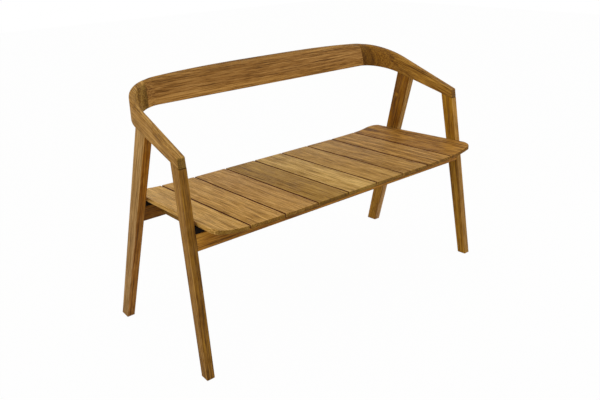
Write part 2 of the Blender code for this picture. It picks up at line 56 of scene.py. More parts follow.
class BenchSizes(bpy.types.PropertyGroup):
    """The sizes of the finished pieces."""

    seam: FloatProperty(
        name="Seam", description="Gap left between two pieces that touch", default=0.0003, unit="LENGTH")
    foot_half_width: FloatProperty(
        name="Foot Half Width", description="From the middle to a foot's outer face",
        default=0.650, unit="LENGTH")
    stock: FloatProperty(
        name="Stock", description="Thickness of the legs and of the band of arms and back",
        default=0.028, unit="LENGTH")
    leg_arris: FloatProperty(
        name="Leg Edge Rounding", description="Rounding of the legs' long edges",
        default=0.0026, unit="LENGTH")
    foot_arris: FloatProperty(
        name="Foot Rounding", description="Rounding of the feet's lower edges",
        default=0.0025, unit="LENGTH")
    band_arris: FloatProperty(
        name="Band Edge Rounding", description="Rounding of the arms' and the back's long edges",
        default=0.0030, unit="LENGTH")
    lower_arris: FloatProperty(
        name="Lower Edge Rounding", description="Rounding of the band's lower edges, over the legs",
        default=0.0010, unit="LENGTH")
    bend_arris: FloatProperty(
        name="Bend Edge Rounding", description="Rounding of the inner upper edge, at the middle of a bend",
        default=0.0085, unit="LENGTH")
    corner_radius: FloatProperty(
        name="Corner Radius", description="Outer radius of the bend from arm to back",
        default=0.150, unit="LENGTH")
    back_crown: FloatProperty(
        name="Back Crown", description="How far the back's top edge swells at its middle",
        default=0.0137, unit="LENGTH")
    slat_count: IntProperty(
        name="Seat Boards", description="Boards across the seat, the two raised ones among them", default=9)
    slat_gap: FloatProperty(
        name="Board Gap", description="Gap between two seat boards", default=0.005, unit="LENGTH")
    slat_thickness: FloatProperty(
        name="Board Thickness", description="Thickness of the seat boards", default=0.012, unit="LENGTH")
    slat_arris: FloatProperty(
        name="Board Edge Rounding", description="Rounding of the seat boards' edges",
        default=0.0016, unit="LENGTH")
    screw_head_radius: FloatProperty(
        name="Screw Head Radius", description="Radius of a pan head under the aprons",
        default=0.0040, unit="LENGTH")


class TeakColours(bpy.types.PropertyGroup):
    """The tones of oiled teak, and the painted shade of the gaps between the boards, as linear colours."""

    pale: FloatVectorProperty(
        name="Pale Wood", description="The lightest streaks",
        subtype="COLOR", default=(0.58, 0.350, 0.118), min=0, max=1)
    golden: FloatVectorProperty(
        name="Golden Wood", description="The middle tone",
        subtype="COLOR", default=(0.39, 0.205, 0.050), min=0, max=1)
    brown: FloatVectorProperty(
        name="Brown Wood", description="The darker bands between the streaks",
        subtype="COLOR", default=(0.235, 0.110, 0.015), min=0, max=1)
    line: FloatVectorProperty(
        name="Dark Line", description="Growth lines, veins and pores",
        subtype="COLOR", default=(0.100, 0.043, 0.004), min=0, max=1)
    end_grain: FloatVectorProperty(
        name="End Grain", description="Tint over the wood where its fibres are cut across",
        subtype="COLOR", default=(0.52, 0.48, 0.25), min=0, max=1)
    # Painted shade: the colour that the boards' sides take down in the gaps between them
    gap: FloatVectorProperty(
        name="Board Edge", description="The boards' shaded edges, down in the gaps between them",
        subtype="COLOR", default=(0.080, 0.012, 0.006), min=0, max=1)


class StudioSettings(bpy.types.PropertyGroup):
    """The camera and the light."""

    azimuth: FloatProperty(name="Azimuth", description="Camera's bearing, in degrees", default=-40.3375)
    elevation: FloatProperty(name="Elevation", description="Camera's height, in degrees", default=21.2819)
    roll: FloatProperty(name="Roll", description="Camera's roll, in degrees", default=-1.4858)
    distance: FloatProperty(
        name="Distance", description="From the camera to its target", default=2.46534, unit="LENGTH")
    target: FloatVectorProperty(
        name="Target", description="The point in the middle of the picture", subtype="XYZ", unit="LENGTH",
        default=(-0.0460, -0.01009, 0.35))
    lens: FloatProperty(name="Lens", description="Focal length in mm on a 36 mm sensor", default=40.704)
    key_power: FloatProperty(
        name="Key Light", description="Power of the large light on the left side", default=6.8)
    side_power: FloatProperty(
        name="Side Light", description="Power of the light in front on the right", default=8.8)
    fill: FloatProperty(name="Fill", description="Strength of the light from all round", default=0.71)


# Shader maths


class Socket:
    """A value in a node tree. Arithmetic on it adds Math nodes."""

    def __init__(self, shop, output):
        self.shop = shop
        self.output = output

    def maths(self, operation, *others):
        """A Math node of this value and up to two more."""
        return self.shop.out("ShaderNodeMath", {"operation": operation}, dict(enumerate((self, *others))))

    def __add__(self, other):
        return self.maths("ADD", other)

    def __radd__(self, other):
        return self.maths("ADD", other)

    def __sub__(self, other):
        return self.maths("SUBTRACT", other)

    def __rsub__(self, other):
        return (self * -1.0).maths("ADD", other)

    def __mul__(self, other):
        return self.maths("MULTIPLY", other)

    def __rmul__(self, other):
        return self.maths("MULTIPLY", other)

    def __truediv__(self, other):
        return self.maths("DIVIDE", other)

    def __pow__(self, other):
        return self.maths("POWER", other)

    def __abs__(self):
        return self.maths("ABSOLUTE")

    def fraction(self):
        """The part after the decimal point."""
        return self.maths("FRACT")

    def step(self, low, high):
        """0 below low, 1 above high, and a smooth rise between them."""
        return self.shop.out("ShaderNodeMapRange", {"interpolation_type": "SMOOTHSTEP"},
                             {"Value": self, "From Min": low, "From Max": high}, "Result")


class Shop:
    """The node tree of a material, of the world or of a modifier, and the ways to add nodes to it."""

    def __init__(self, owner):
        self.owner = owner
        if hasattr(owner, "use_nodes"):
            owner.use_nodes = True
        self.tree = getattr(owner, "node_tree", owner)
        self.tree.nodes.clear()

    def feed(self, socket, value):
        """Links a socket to a value, or sets it."""
        if isinstance(value, Socket):
            self.tree.links.new(value.output, socket)
        elif hasattr(socket.default_value, "__len__") and len(value) == 3 and len(socket.default_value) == 4:
            socket.default_value = (*value, 1.0)
        else:
            socket.default_value = value

    def add(self, kind, settings, values):
        """A node of any type, with its settings and the values of its inputs."""
        node = self.tree.nodes.new(kind)
        for key, value in settings.items():
            if key == "stops":
                ramp = node.color_ramp
                while len(ramp.elements) < len(value):
                    ramp.elements.new(0.5)
                for element, (place, colour) in zip(ramp.elements, value):
                    element.position = place
                    element.color = (*colour, 1.0) if len(colour) == 3 else colour
            elif key == "steps":
                node.color_ramp.interpolation = "CONSTANT"
            else:
                setattr(node, key, value)
        for key, value in values.items():
            self.feed(node.inputs[key], value)
        return node

    def outs(self, kind, settings, values):
        """All the outputs of such a node."""
        return [Socket(self, output) for output in self.add(kind, settings, values).outputs]

    def out(self, kind, settings, values, name=0):
        """One output of such a node."""
        return Socket(self, self.add(kind, settings, values).outputs[name])

    def vector(self, operation, *vectors, name=0):
        """A Vector Math node."""
        return self.out("ShaderNodeVectorMath", {"operation": operation}, dict(enumerate(vectors)), name)

    def mix(self, share, first, second, blend="MIX"):
        """Two colours mixed by a share."""
        return self.out("ShaderNodeMix", {"data_type": "RGBA", "blend_type": blend, "clamp_result": False},
                        {0: share, 6: first, 7: second}, 2)

    def mix_shaders(self, share, first, second):
        """Two shaders mixed by a share."""
        return self.out("ShaderNodeMixShader", {}, {0: share, 1: first, 2: second})

    def noise(self, at, scale, detail=2.0, roughness=0.5):
        """A noise texture at a place."""
        return self.out("ShaderNodeTexNoise", {"noise_dimensions": "3D"},
                        {"Vector": at, "Scale": scale, "Detail": detail, "Roughness": roughness}, "Fac")

    def split(self, vector):
        """The three parts of a vector."""
        return self.outs("ShaderNodeSeparateXYZ", {}, {"Vector": vector})

    def join(self, x, y, z):
        """A vector of three parts."""
        return self.out("ShaderNodeCombineXYZ", {}, {"X": x, "Y": y, "Z": z})

    def finish(self, colour, roughness, bump=None, height=0.0, metallic=0.0, specular=0.16):
        """The surface shader and the material's output."""
        values = {"Base Color": colour, "Roughness": roughness, "Metallic": metallic,
                  "Specular IOR Level": specular}
        if bump is not None:
            values["Normal"] = self.out("ShaderNodeBump", {},
                                        {"Height": bump, "Strength": 1.0, "Distance": height})
        shader = self.out("ShaderNodeBsdfPrincipled", {}, values)
        self.add("ShaderNodeOutputMaterial", {}, {"Surface": shader})
        return self.owner


# Teak

# Noise that is drawn out along the fibres: waves per metre along and across them, detail and roughness
WAVE = (1.6, 7.0, 1.0, 0.5)
RIPPLE = (5.0, 26.0, 1.0, 0.5)
GRAIN = (3.0, 160.0, 2.0, 0.7)
COARSE = (9.0, 330.0, 2.0, 0.6)
FIBRE = (30.0, 900.0, 2.0, 0.6)
PORES = (90.0, 2100.0, 1.0, 0.5)
SPECKLE = (200.0, 700.0, 2.0, 0.5)
# Noise that follows the growth rings: waves per metre along the fibres and across the rings, and the same
BAND = (0.4, 62.0, 2.0, 0.5)
STREAK = (1.2, 210.0, 3.0, 0.7)
VEIN = (1.0, 210.0, 2.0, 0.6)
# How far the rings are bent by the first two, the width of a year's ring and how unlike the years are
WAVE_DEPTH = 0.026
RIPPLE_DEPTH = 0.0030
RING_WIDTH = 0.0062
YEARS_PER_METRE = 40.0
YEAR_SPREAD = 2.5
# The tone between the darkest (0) and the palest wood (1), and how much each noise moves it
MIDDLE_TONE = 0.53
BAND_SHARE = 1.3
GRAIN_SHARE = 0.6
COARSE_SHARES = (1.1, 1.2)
FIBRE_SHARE = 1.4
CLOUD_SHARE = 0.25
CLOUDS_PER_METRE = 7.0
TONE_STOPS = (("line", 0.0), ("brown", 0.22), ("golden", 0.55), ("pale", 1.0))
# How dark the growth lines, pores and veins are, and the darkest of them all
LINE_SHARE = 0.35
PORE_SHARE = 0.25
VEIN_SHARE = 0.26
DARKEST = 0.85
# How far along the fibres the wood of one seed lies from the next
SEED_STEP = 1.37
# How far from each other, along, across and down in the log, the boards of one row may have been cut
LOG_LENGTH = 4.0
LOG_WIDTH = 0.14
LOG_DEPTH = 0.05
# Where the painted shade of the gaps sets in behind the boards' front ends, and how far out to each side it
# reaches
GAP_STARTS = (0.001, 0.006)
GAPS_END = (0.55, 0.57)
# From where to where a noise, a slope or a distance counts, and how much its colour then shows
VEIN_EDGE = (0.56, 0.68)
PORE_EDGE = (0.60, 0.72)
RING_END = (0.94, 1.0)
KNOT_EDGE = (0.35, 1.0)
KNOT_SHARE = 0.8
CUT_EDGE = (0.50, 0.95)
SPECKLE_EDGE = (0.45, 0.70)
SPECKLE_SHARE = 0.5
# Painted shade on the faces that look down: from where it sets in, and how dark it gets
DOWN_SHADE_EDGE = (0.15, 0.75)
DOWN_SHADE_SHARE = 0.75
# Painted shade of the gaps: how far a face must turn to the side to take it
SIDE_EDGE = (0.40, 0.80)
RUBS_PER_METRE = 45.0
RUB_EDGE = (0.35, 0.70)
RUB_SHARE = 0.12
# The roughness of the oiled wood, and what the streaks, the pores, rubbing and cut fibres add to it
ROUGHNESS = 0.62
STREAK_ROUGHNESS = 0.20
PORE_ROUGHNESS = 0.08
RUB_ROUGHNESS = -0.08
CUT_ROUGHNESS = 0.08
# The height of the relief, and the shares of the fibres, the coarse grain, the pores and the lines in it
RELIEF = 0.00025
FIBRE_RELIEF = 0.5
COARSE_RELIEF = 0.4
PORE_RELIEF = -0.7
LINE_RELIEF = -0.4


def board_grain(shop, place, boards, seed):
    """The place in its own timber of each board of a row, with the board's tint and its streaks."""
    pitch, board_tones = boards
    count = len(board_tones)
    x, y, z = shop.split(place)
    number = (x / pitch + count / 2).maths("FLOOR")
    random = shop.out("ShaderNodeTexWhiteNoise", {"noise_dimensions": "1D"}, {"W": number + seed}, "Color")
    random_u, random_v, random_w = shop.split(random)
    local_x = x - (number - (count - 1) / 2) * pitch
    where = shop.join(local_x + (random_v - 0.5) * LOG_WIDTH, y + random_u * LOG_LENGTH,
                      z + random_w * LOG_DEPTH)
    stops = [(n / count, (*[part / PALEST for part in tone[:3]], tone[3]))
             for n, tone in enumerate(board_tones)]
    tint, streaks = shop.outs("ShaderNodeValToRGB", {"stops": stops, "steps": True},
                              {"Fac": (number + 0.5) / count})
    return where, shop.mix(1.0, tint, (PALEST,) * 3, "MULTIPLY"), streaks * 2.0


def faded(shop, place, facing, tint, fade):
    """A tint that turns to another one between two places: painted light and shade along a piece."""
    first, second, far_side, far_front = fade
    span = Vector(second) - Vector(first)
    share = shop.vector("DOT_PRODUCT", shop.vector("SUBTRACT", place, first),
                        tuple(span / span.length_squared), name="Value").step(0.0, 1.0)
    far_tint = shop.mix(facing[1] ** 2.0, far_side, far_front)
    return shop.mix(share, tint, shop.mix(1.0, tint, far_tint, "MULTIPLY"))


def gap_shade_mask(shop, place, facing):
    """Where the painted shade goes: 1 on the sides of the boards down in the gaps between them, and 0
    elsewhere.
    """
    x, y, _ = shop.split(place)
    behind_front = (y - SEAT_FRONT_Y).step(*GAP_STARTS)
    return abs(facing[0]).step(*SIDE_EDGE) * (1.0 - abs(x).step(*GAPS_END)) * behind_front


def teak(name, along, middle, seed, tint=WHITE, front_painted_light=None, fade=None, heart=(0.05, -0.06),
         lean=(0.03, 0.02), figure=1.0, boards=None, knot=None):
    """Oiled teak whose fibres run along a direction of the object.

    middle is a point inside the piece, and heart the place of the tree's middle across the fibres from
    there, which leans a little as it runs along them. figure is how wavy the rings are.
    front_painted_light is the tint of the faces square to Y: painted light and shade, which makes these faces
    lighter or darker than the sides as the light falls on them. fade is two places and the two tints, of the
    sides and of those faces, that the wood takes on from the first place to the second: painted light and
    shade too, where the light reaches a part of the piece more or less.
    boards is the distance from one board to the next and their tones, for a row of boards that each have
    their own grain; a tone's fourth value is its streaks. knot is the place and radius of a pale knot.
    """
    tones = bpy.context.scene.teak_colours
    line_colour, pale_colour = tuple(tones.line), tuple(tones.pale)
    shop = Shop(bpy.data.materials.new(name))
    place = shop.out("ShaderNodeTexCoord", {}, {}, "Object")
    normal = shop.out("ShaderNodeTexCoord", {}, {}, "Normal")
    facing = shop.split(normal)
    where, streaks = place, 1.0
    if boards:
        where, tint, streaks = board_grain(shop, place, boards, seed)
    # Painted light and shade: the faces square to Y take their own tint
    elif front_painted_light:
        tint = shop.mix(facing[1] ** 2.0, tint, front_painted_light)
    # Painted light and shade: the tint turns lighter or darker between two places
    if fade:
        tint = faded(shop, place, facing, tint, fade)
    turn = Vector(along).to_track_quat("X", "Z").inverted()
    lie = shop.out("ShaderNodeMapping", {"vector_type": "POINT"},
                   {"Vector": where, "Rotation": tuple(turn.to_euler()),
                    "Location": tuple(-(turn @ Vector(middle)))})
    u, v, w = shop.split(lie)
    shifted = u + seed * SEED_STEP

    def along_fibres(waves, across, detail, roughness):
        return shop.noise(shop.join(shifted * waves, v * across, w * across), 1.0, detail, roughness)

    # Growth rings, which slow waves bend
    wave, ripple = along_fibres(*WAVE), along_fibres(*RIPPLE)
    reach = (((v - heart[0] - u * lean[0]) ** 2.0 + (w - heart[1] - u * lean[1]) ** 2.0) ** 0.5
             + (wave - 0.5) * (WAVE_DEPTH * figure) + (ripple - 0.5) * (RIPPLE_DEPTH * figure))

    def along_rings(waves, across, detail, roughness, at=seed):
        return shop.noise(shop.join(reach * across, shifted * waves, at), 1.0, detail, roughness)

    # Bands, streaks, the line at the end of each ring, and dark veins that run a long way along it
    band, streak = along_rings(*BAND), along_rings(*STREAK)
    years = shop.noise(shop.join(reach * YEARS_PER_METRE, seed, 0.0), 1.0, 1.0)
    phase = (reach / RING_WIDTH + years * YEAR_SPREAD).fraction()
    line = phase ** 4.0 * (1.0 - phase.step(*RING_END))
    vein = along_rings(*VEIN, at=seed + 4.0).step(*VEIN_EDGE)
    # Fibres and pores
    grain, coarse, fibre = along_fibres(*GRAIN), along_fibres(*COARSE), along_fibres(*FIBRE)
    pore = along_fibres(*PORES).step(*PORE_EDGE)
    cloud = shop.noise(where, CLOUDS_PER_METRE, 1.0)
    tone = (MIDDLE_TONE + (band - 0.5) * streaks * BAND_SHARE + (streak - 0.5) * streaks
            + (grain - 0.5) * GRAIN_SHARE
            + (coarse - 0.5) * (COARSE_SHARES[0] + streaks * COARSE_SHARES[1])
            + (fibre - 0.5) * FIBRE_SHARE + (cloud - 0.5) * CLOUD_SHARE)
    stops = [(stop, tuple(getattr(tones, key))) for key, stop in TONE_STOPS]
    colour = shop.out("ShaderNodeValToRGB", {"stops": stops}, {"Fac": tone}, "Color")
    dark = (line * LINE_SHARE + pore * PORE_SHARE).maths("MAXIMUM", vein * streaks * VEIN_SHARE)
    colour = shop.mix(dark.maths("MINIMUM", DARKEST), colour, line_colour)
    if knot:
        centre, radius = knot
        away = shop.vector("DISTANCE", place, centre, name="Value") / radius
        colour = shop.mix((1.0 - away.step(*KNOT_EDGE)) * KNOT_SHARE, colour, pale_colour)
    colour = shop.mix(1.0, colour, tint, "MULTIPLY")
    # Fibres that are cut across, at the ends of a board and round a bend
    across = abs(shop.vector("DOT_PRODUCT", normal, tuple(Vector(along).normalized()), name="Value"))
    cut = across.step(*CUT_EDGE)
    speckled = shop.mix(along_fibres(*SPECKLE).step(*SPECKLE_EDGE) * SPECKLE_SHARE, colour, line_colour)
    colour = shop.mix(cut, colour, shop.mix(1.0, speckled, tuple(tones.end_grain), "MULTIPLY"))
    # Painted shade: the faces that look down are darkened towards the dark line colour
    below = (facing[2] * -1.0).step(*DOWN_SHADE_EDGE)
    colour = shop.mix(below * DOWN_SHADE_SHARE, colour, line_colour)
    # Worn edges, which hands polish a little paler
    wear = shop.out("ShaderNodeAttribute", {"attribute_name": "wear"}, {}, "Fac")
    rub = wear * shop.noise(place, RUBS_PER_METRE).step(*RUB_EDGE)
    colour = shop.mix(rub * RUB_SHARE, colour, pale_colour)
    # Painted shade on the boards' sides down in the gaps between them
    if boards:
        colour = shop.mix(gap_shade_mask(shop, place, facing), colour, tuple(tones.gap))
    roughness = (ROUGHNESS + (streak - 0.5) * STREAK_ROUGHNESS + pore * PORE_ROUGHNESS
                 + rub * RUB_ROUGHNESS + cut * CUT_ROUGHNESS)
    relief = fibre * FIBRE_RELIEF + coarse * COARSE_RELIEF + pore * PORE_RELIEF + line * LINE_RELIEF
    return shop.finish(colour, roughness, relief, RELIEF)


def mottled(name, scale, detail, colours, roughness, spread, height, **looks):
    """A material whose colour, roughness and relief follow one noise, of so many waves per metre."""
    shop = Shop(bpy.data.materials.new(name))
    place = shop.out("ShaderNodeTexCoord", {}, {}, "Object")
    noise = shop.noise(shop.vector("MULTIPLY", place, scale), 1.0, detail)
    return shop.finish(shop.mix(noise, *colours), roughness + noise * spread, noise, height, **looks)


# Mesh making

SHARP_ANGLE = math.radians(32)
SAME_PLACE = 0.000001
LEAST_RADIUS = 0.0003
# Wear at the two ends of an arris, where its middle has 1, and at an end that is rounded off
ARRIS_END_WEAR = 0.6
END_WEAR = 0.8
# Points round one corner of each kind of section
BAND_STEPS = 7
LEG_STEPS = 7
APRON_STEPS = 5
BOARD_STEPS = 6
PAD_STEPS = 4


def lerp(a, b, share):
    """The value that lies share of the way from a to b."""
    return a + (b - a) * share


def rounded(corners, radii, steps):
    """A closed loop of points through the corners, with the share of rounding at each point."""
    loop = []
    count = len(corners)
    for index, corner in enumerate(corners):
        radius = radii[index]
        if radius <= 0:
            loop.append((corner.copy(), 0.0))
            continue
        into = (corners[index - 1] - corner).normalized()
        onward = (corners[(index + 1) % count] - corner).normalized()
        half = into.angle(onward) / 2
        centre = corner + (into + onward).normalized() * radius / math.sin(half)
        start = corner + into * radius / math.tan(half)
        end = corner + onward * radius / math.tan(half)
        for step in range(steps):
            share = step / (steps - 1)
            spoke = (start - centre).slerp(end - centre, share) * radius
            loop.append((centre + spoke, lerp(1.0, ARRIS_END_WEAR, abs(2 * share - 1))))
    return loop


def loft(name, rings):
    """A closed mesh through loops of (point, wear), with a flat face over the first and the last."""
    mesh = bmesh.new()
    worn = mesh.verts.layers.float.new("wear")
    loops = []
    for ring in rings:
        row = []
        for point, wear in ring:
            vertex = mesh.verts.new(point)
            vertex[worn] = wear
            row.append(vertex)
        loops.append(row)
    size = len(loops[0])
    for low, high in zip(loops, loops[1:]):
        for index in range(size):
            follow = (index + 1) % size
            mesh.faces.new((low[index], low[follow], high[follow], high[index]))
    mesh.faces.new(list(reversed(loops[0])))
    mesh.faces.new(loops[-1])
    bmesh.ops.remove_doubles(mesh, verts=mesh.verts, dist=SAME_PLACE)
    bmesh.ops.recalc_face_normals(mesh, faces=mesh.faces)
    data = to_mesh(name, mesh)
    data.shade_smooth()
    data.set_sharp_from_angle(angle=SHARP_ANGLE)
    return data


def to_mesh(name, mesh):
    """The mesh data that a bmesh holds, which is freed."""
    data = bpy.data.meshes.new(name)
    mesh.to_mesh(data)
    mesh.free()
    return data


def in_scene(name, data):
    """A new object in the scene."""
    thing = bpy.data.objects.new(name, data)
    bpy.context.scene.collection.objects.link(thing)
    return thing


def evaluated(thing):
    """The plain mesh that an object's modifiers make. The object is removed."""
    depsgraph = bpy.context.evaluated_depsgraph_get()
    made = bpy.data.meshes.new_from_object(thing.evaluated_get(depsgraph))
    bpy.data.objects.remove(thing)
    return made


def place_piece(name, data, material, nodes=None):
    """Puts a finished mesh in the scene in place of the plain nodes, or of the one of its own name."""
    data.materials.clear()
    data.materials.append(material)
    piece = in_scene(f"{name}_finished", data)
    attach(piece, "root")
    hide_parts(*(nodes or [name]))


def mirrored(rings, side):
    """The same rings on the other side of the bench, for side -1."""
    return [[(Vector((point.x * side, point.y, point.z)), wear) for point, wear in ring] for ring in rings]


def inset_ring(points, radii, inset, steps):
    """A ring drawn in towards its middle by a distance from every side."""
    middle = sum(points, Vector()) / len(points)
    drawn = [point + (middle - point).normalized() * inset * math.sqrt(2) for point in points]
    return rounded(drawn, [max(radius - inset, LEAST_RADIUS) if radius else 0.0 for radius in radii], steps)


def quarter_turn(steps):
    """Angles that round off an end, from 0 up to but not with a right angle."""
    return [math.pi / 2 * step / steps for step in range(steps)]


def shares(steps, with_last=False):
    """Even shares from 0 up to 1, which is left to what follows unless it is asked for."""
    return [step / steps for step in range(steps + with_last)]


def all_worn(ring):
    """A ring that is worn all round."""
    return [(point, max(wear, END_WEAR)) for point, wear in ring]


# The bench's lines

ARM_END_X = 0.6273
ARM_END_Y = -0.170
ARM_TOE_IN = 0.0613
BACK_REAR_Y = 0.2235
UNDERSIDE_AT_END = 0.644
UNDERSIDE_SLOPE = 0.2663
ARM_DEPTH_AT_END = 0.032
TOP_SLOPE = 0.388
CROWN_POWER = 3
JOINT_PAST_BEND = 0.0364
JOINT_SHIFT = 0.009
JOINT_TILT = 0.013
TOP_RECESS = 0.009
CREASE_HEIGHT = 0.6
CREASE_RECESS = 0.2
ARM_END_ARRIS = 0.004
TOE = math.hypot(1.0, ARM_TOE_IN)
ARM_ANGLE = math.atan(ARM_TOE_IN)

FRONT_FOOT_Y = -0.2690
FRONT_FOOT_DEPTH = 0.035
FRONT_LEG_RAKE = 0.147
FRONT_LEG_GROWTH = 0.019
REAR_FOOT_Y = 0.2380
REAR_FOOT_DEPTH = 0.046
REAR_LEG_RAKE = -0.2994
REAR_LEG_GROWTH = 0.030

SEAT_LEG_CLEARANCE = 0.0066
EDGE_SLAT_WIDTH = 0.1202
SEAT_FRONT_Y = -0.2833
SEAT_REAR_Y = 0.2300
SEAT_FRONT_Z = 0.4596
SEAT_FALL = 0.0087
SEAT_EDGE_FLARE = 0.019
FRONT_EDGE_RISE = 0.0257
REAR_EDGE_RISE = 0.0190
BOARD_TILT = 0.12
EDGE_SWELL = 0.003
EDGE_UNDERCUT = 0.004
FRONT_CORNER_RADIUS = 0.024
FRONT_CORNER_LENGTH = 0.050
REAR_CORNER_RADIUS = 0.042

APRON_THICKNESS = 0.026
FRONT_APRON_SETBACK = 0.0010
FRONT_APRON_DEPTH = 0.0480
REAR_APRON_SETBACK = 0.0080
REAR_APRON_DEPTH = 0.0525
APRON_ARRIS = 0.0018

SCREW_IN_SLAT = 0.0085
SCREW_LENGTH = 0.040
EDGE_SCREW_INSET = 0.018
SCREW_HEAD_HEIGHT = 0.0026
SCREW_SHANK_RADIUS = 0.0021
COUNTERBORE_RADIUS = 0.0050

PAD_UNDER_SEAT = 0.0215
PAD_SETBACK = 0.001
PAD_ARRIS = 0.0015


def sizes():
    """The sizes that the panel shows."""
    return bpy.context.scene.bench_sizes


def underside(y):
    """Height of the band's lower plane."""
    return UNDERSIDE_AT_END + UNDERSIDE_SLOPE * (y - ARM_END_Y)


def arm_x(y, inward):
    """Distance from the centre line to the arm's upright face, or a line that lies inward of it."""
    return ARM_END_X - ARM_TOE_IN * (y - ARM_END_Y) - inward * TOE


def corner_centre():
    """The middle of the bend from arm to back, as x and y."""
    y = BACK_REAR_Y - sizes().corner_radius
    return arm_x(y, sizes().corner_radius), y


def top(x, y):
    """Height of the band's upper surface, with the back's crown."""
    joint_x = corner_centre()[0] + JOINT_PAST_BEND
    crown = sizes().back_crown * max(0.0, 1.0 - abs(x / joint_x) ** CROWN_POWER)
    return UNDERSIDE_AT_END + ARM_DEPTH_AT_END + TOP_SLOPE * (y - ARM_END_Y) + crown


def band_lines():
    """Lines of the band's section: inward distance, share of the recess, share of the height."""
    stock = sizes().stock
    return ((0.0, 0.0, 0.0), (stock, 0.0, 0.0), (stock, CREASE_RECESS, CREASE_HEIGHT),
            (stock, 1.0, 1.0), (0.0, 0.0, 1.0))


def band_point(x, y, share):
    """A point of the band above a place on the ground, at a share of its height."""
    return Vector((x, y, lerp(underside(y), top(x, y), share)))


def band_ring(points, inset=0.0, bend=0.0):
    """The band's rounded section through the points of its five lines, softer inside a bend (0 to 1)."""
    arris, lower = sizes().band_arris, sizes().lower_arris
    radii = (lower, lower, 0.0, lerp(arris, sizes().bend_arris, bend), arris)
    return inset_ring(points, radii, inset, BAND_STEPS) if inset else rounded(points, radii, BAND_STEPS)


def arm_point(line, y):
    """A point of one section line on the arm's straight run."""
    inward, draw, share = line
    corner_y = corner_centre()[1]
    recess = TOP_RECESS * min(1.0, max(0.0, (y - ARM_END_Y) / (corner_y - ARM_END_Y)))
    return band_point(arm_x(y, inward - draw * recess), y, share)


def back_point(line, x):
    """A point of one section line on the back's straight run."""
    inward, draw, share = line
    return band_point(x, BACK_REAR_Y - inward + draw * TOP_RECESS, share)


def corner_point(line, angle):
    """A point of one section line on the bend, at an angle from the +X direction."""
    inward, draw, share = line
    reach = sizes().corner_radius - inward + draw * TOP_RECESS
    x, y = corner_centre()
    return band_point(x + reach * math.cos(angle), y + reach * math.sin(angle), share)


def joint_angle(line, side, gap):
    """The angle where one section line meets the joint of arm and back, which stands a little askew."""
    inward, draw, share = line
    past = JOINT_PAST_BEND - side * JOINT_SHIFT - (JOINT_TILT * share if side > 0 else 0.0) + gap
    return math.acos(past / (sizes().corner_radius - inward + draw * TOP_RECESS))


def arm_end_y(line):
    """Where one section line meets the plane of the front leg's front face."""
    share = line[2]
    at_zero = lerp(underside(0.0), UNDERSIDE_AT_END + ARM_DEPTH_AT_END - TOP_SLOPE * ARM_END_Y, share)
    slope = lerp(UNDERSIDE_SLOPE, TOP_SLOPE, share)
    return (FRONT_FOOT_Y + FRONT_LEG_RAKE * at_zero) / (1.0 - FRONT_LEG_RAKE * slope)


def leg_y(front, z):
    """The front and rear faces of a leg at a height."""
    if front:
        face = FRONT_FOOT_Y + FRONT_LEG_RAKE * z
        return face, face + FRONT_FOOT_DEPTH + FRONT_LEG_GROWTH * z
    face = REAR_FOOT_Y + REAR_LEG_RAKE * z
    return face, face + REAR_FOOT_DEPTH + REAR_LEG_GROWTH * z


def leg_top(front, rear_face):
    """Where a leg's front or rear face meets the band's underside: its y and z."""
    low, high = leg_y(front, 0.0)[rear_face], leg_y(front, 1.0)[rear_face]
    z = (underside(low) - sizes().seam) / (1.0 - UNDERSIDE_SLOPE * (high - low))
    return low + (high - low) * z, z


def leg_x(front, y, z, inward):
    """Distance from the centre line to a leg's outer face, or a plane inward of it."""
    foot_y = leg_y(front, 0.0)[0]
    head_y, head_z = leg_top(front, 0)
    half = sizes().foot_half_width
    lean = (half - ARM_TOE_IN * (head_y - foot_y) - arm_x(head_y, 0.0)) / head_z
    return half - ARM_TOE_IN * (y - foot_y) - lean * z - inward


def leg_corners(front, share):
    """The four corners of a leg's section at a share of its height, outer front first."""
    stock = sizes().stock
    corners = []
    for rear_face, inward in ((0, 0.0), (1, 0.0), (1, stock), (0, stock)):
        foot_y = leg_y(front, 0.0)[rear_face]
        head_y, head_z = leg_top(front, rear_face)
        foot = Vector((leg_x(front, foot_y, 0.0, inward), foot_y, 0.0))
        head = Vector((leg_x(front, head_y, head_z, inward), head_y, head_z))
        corners.append(foot.lerp(head, share))
    return corners


def seat_edge_x(y):
    """Distance from the centre line to the seat's outer edge."""
    leg_rear_y = leg_y(False, SEAT_FRONT_Z)[1]
    inner_face = leg_x(False, leg_rear_y, SEAT_FRONT_Z, sizes().stock)
    return inner_face - SEAT_LEG_CLEARANCE - SEAT_EDGE_FLARE * (y - leg_rear_y)


def slat_pitch():
    """The distance from one seat board to the next."""
    return 2 * (seat_edge_x(0.0) - EDGE_SLAT_WIDTH - sizes().slat_gap / 2) / (sizes().slat_count - 2)


def edge_slat_x():
    """Distance from the centre line to the outermost board's inner edge."""
    return seat_edge_x(0.0) - EDGE_SLAT_WIDTH


def tilt_from_x():
    """Where the seat starts to rise: the inner edge of the board next to the outermost."""
    return (sizes().slat_count / 2 - 2) * slat_pitch()


def seat_top(x, y):
    """Height of the seat's upper surface, which rises over the two boards at each end."""
    share = (y - SEAT_FRONT_Y) / (SEAT_REAR_Y - SEAT_FRONT_Y)
    tilted = max(0.0, (abs(x) - tilt_from_x()) / slat_pitch())
    edge_tilted = (seat_edge_x(y) - tilt_from_x()) / slat_pitch()
    beyond = max(0.0, (abs(x) - edge_slat_x()) / (seat_edge_x(y) - edge_slat_x()))
    lift = BOARD_TILT * tilted + (1 - BOARD_TILT * edge_tilted) * beyond ** 2
    return SEAT_FRONT_Z - SEAT_FALL * share + lerp(FRONT_EDGE_RISE, REAR_EDGE_RISE, share) * lift


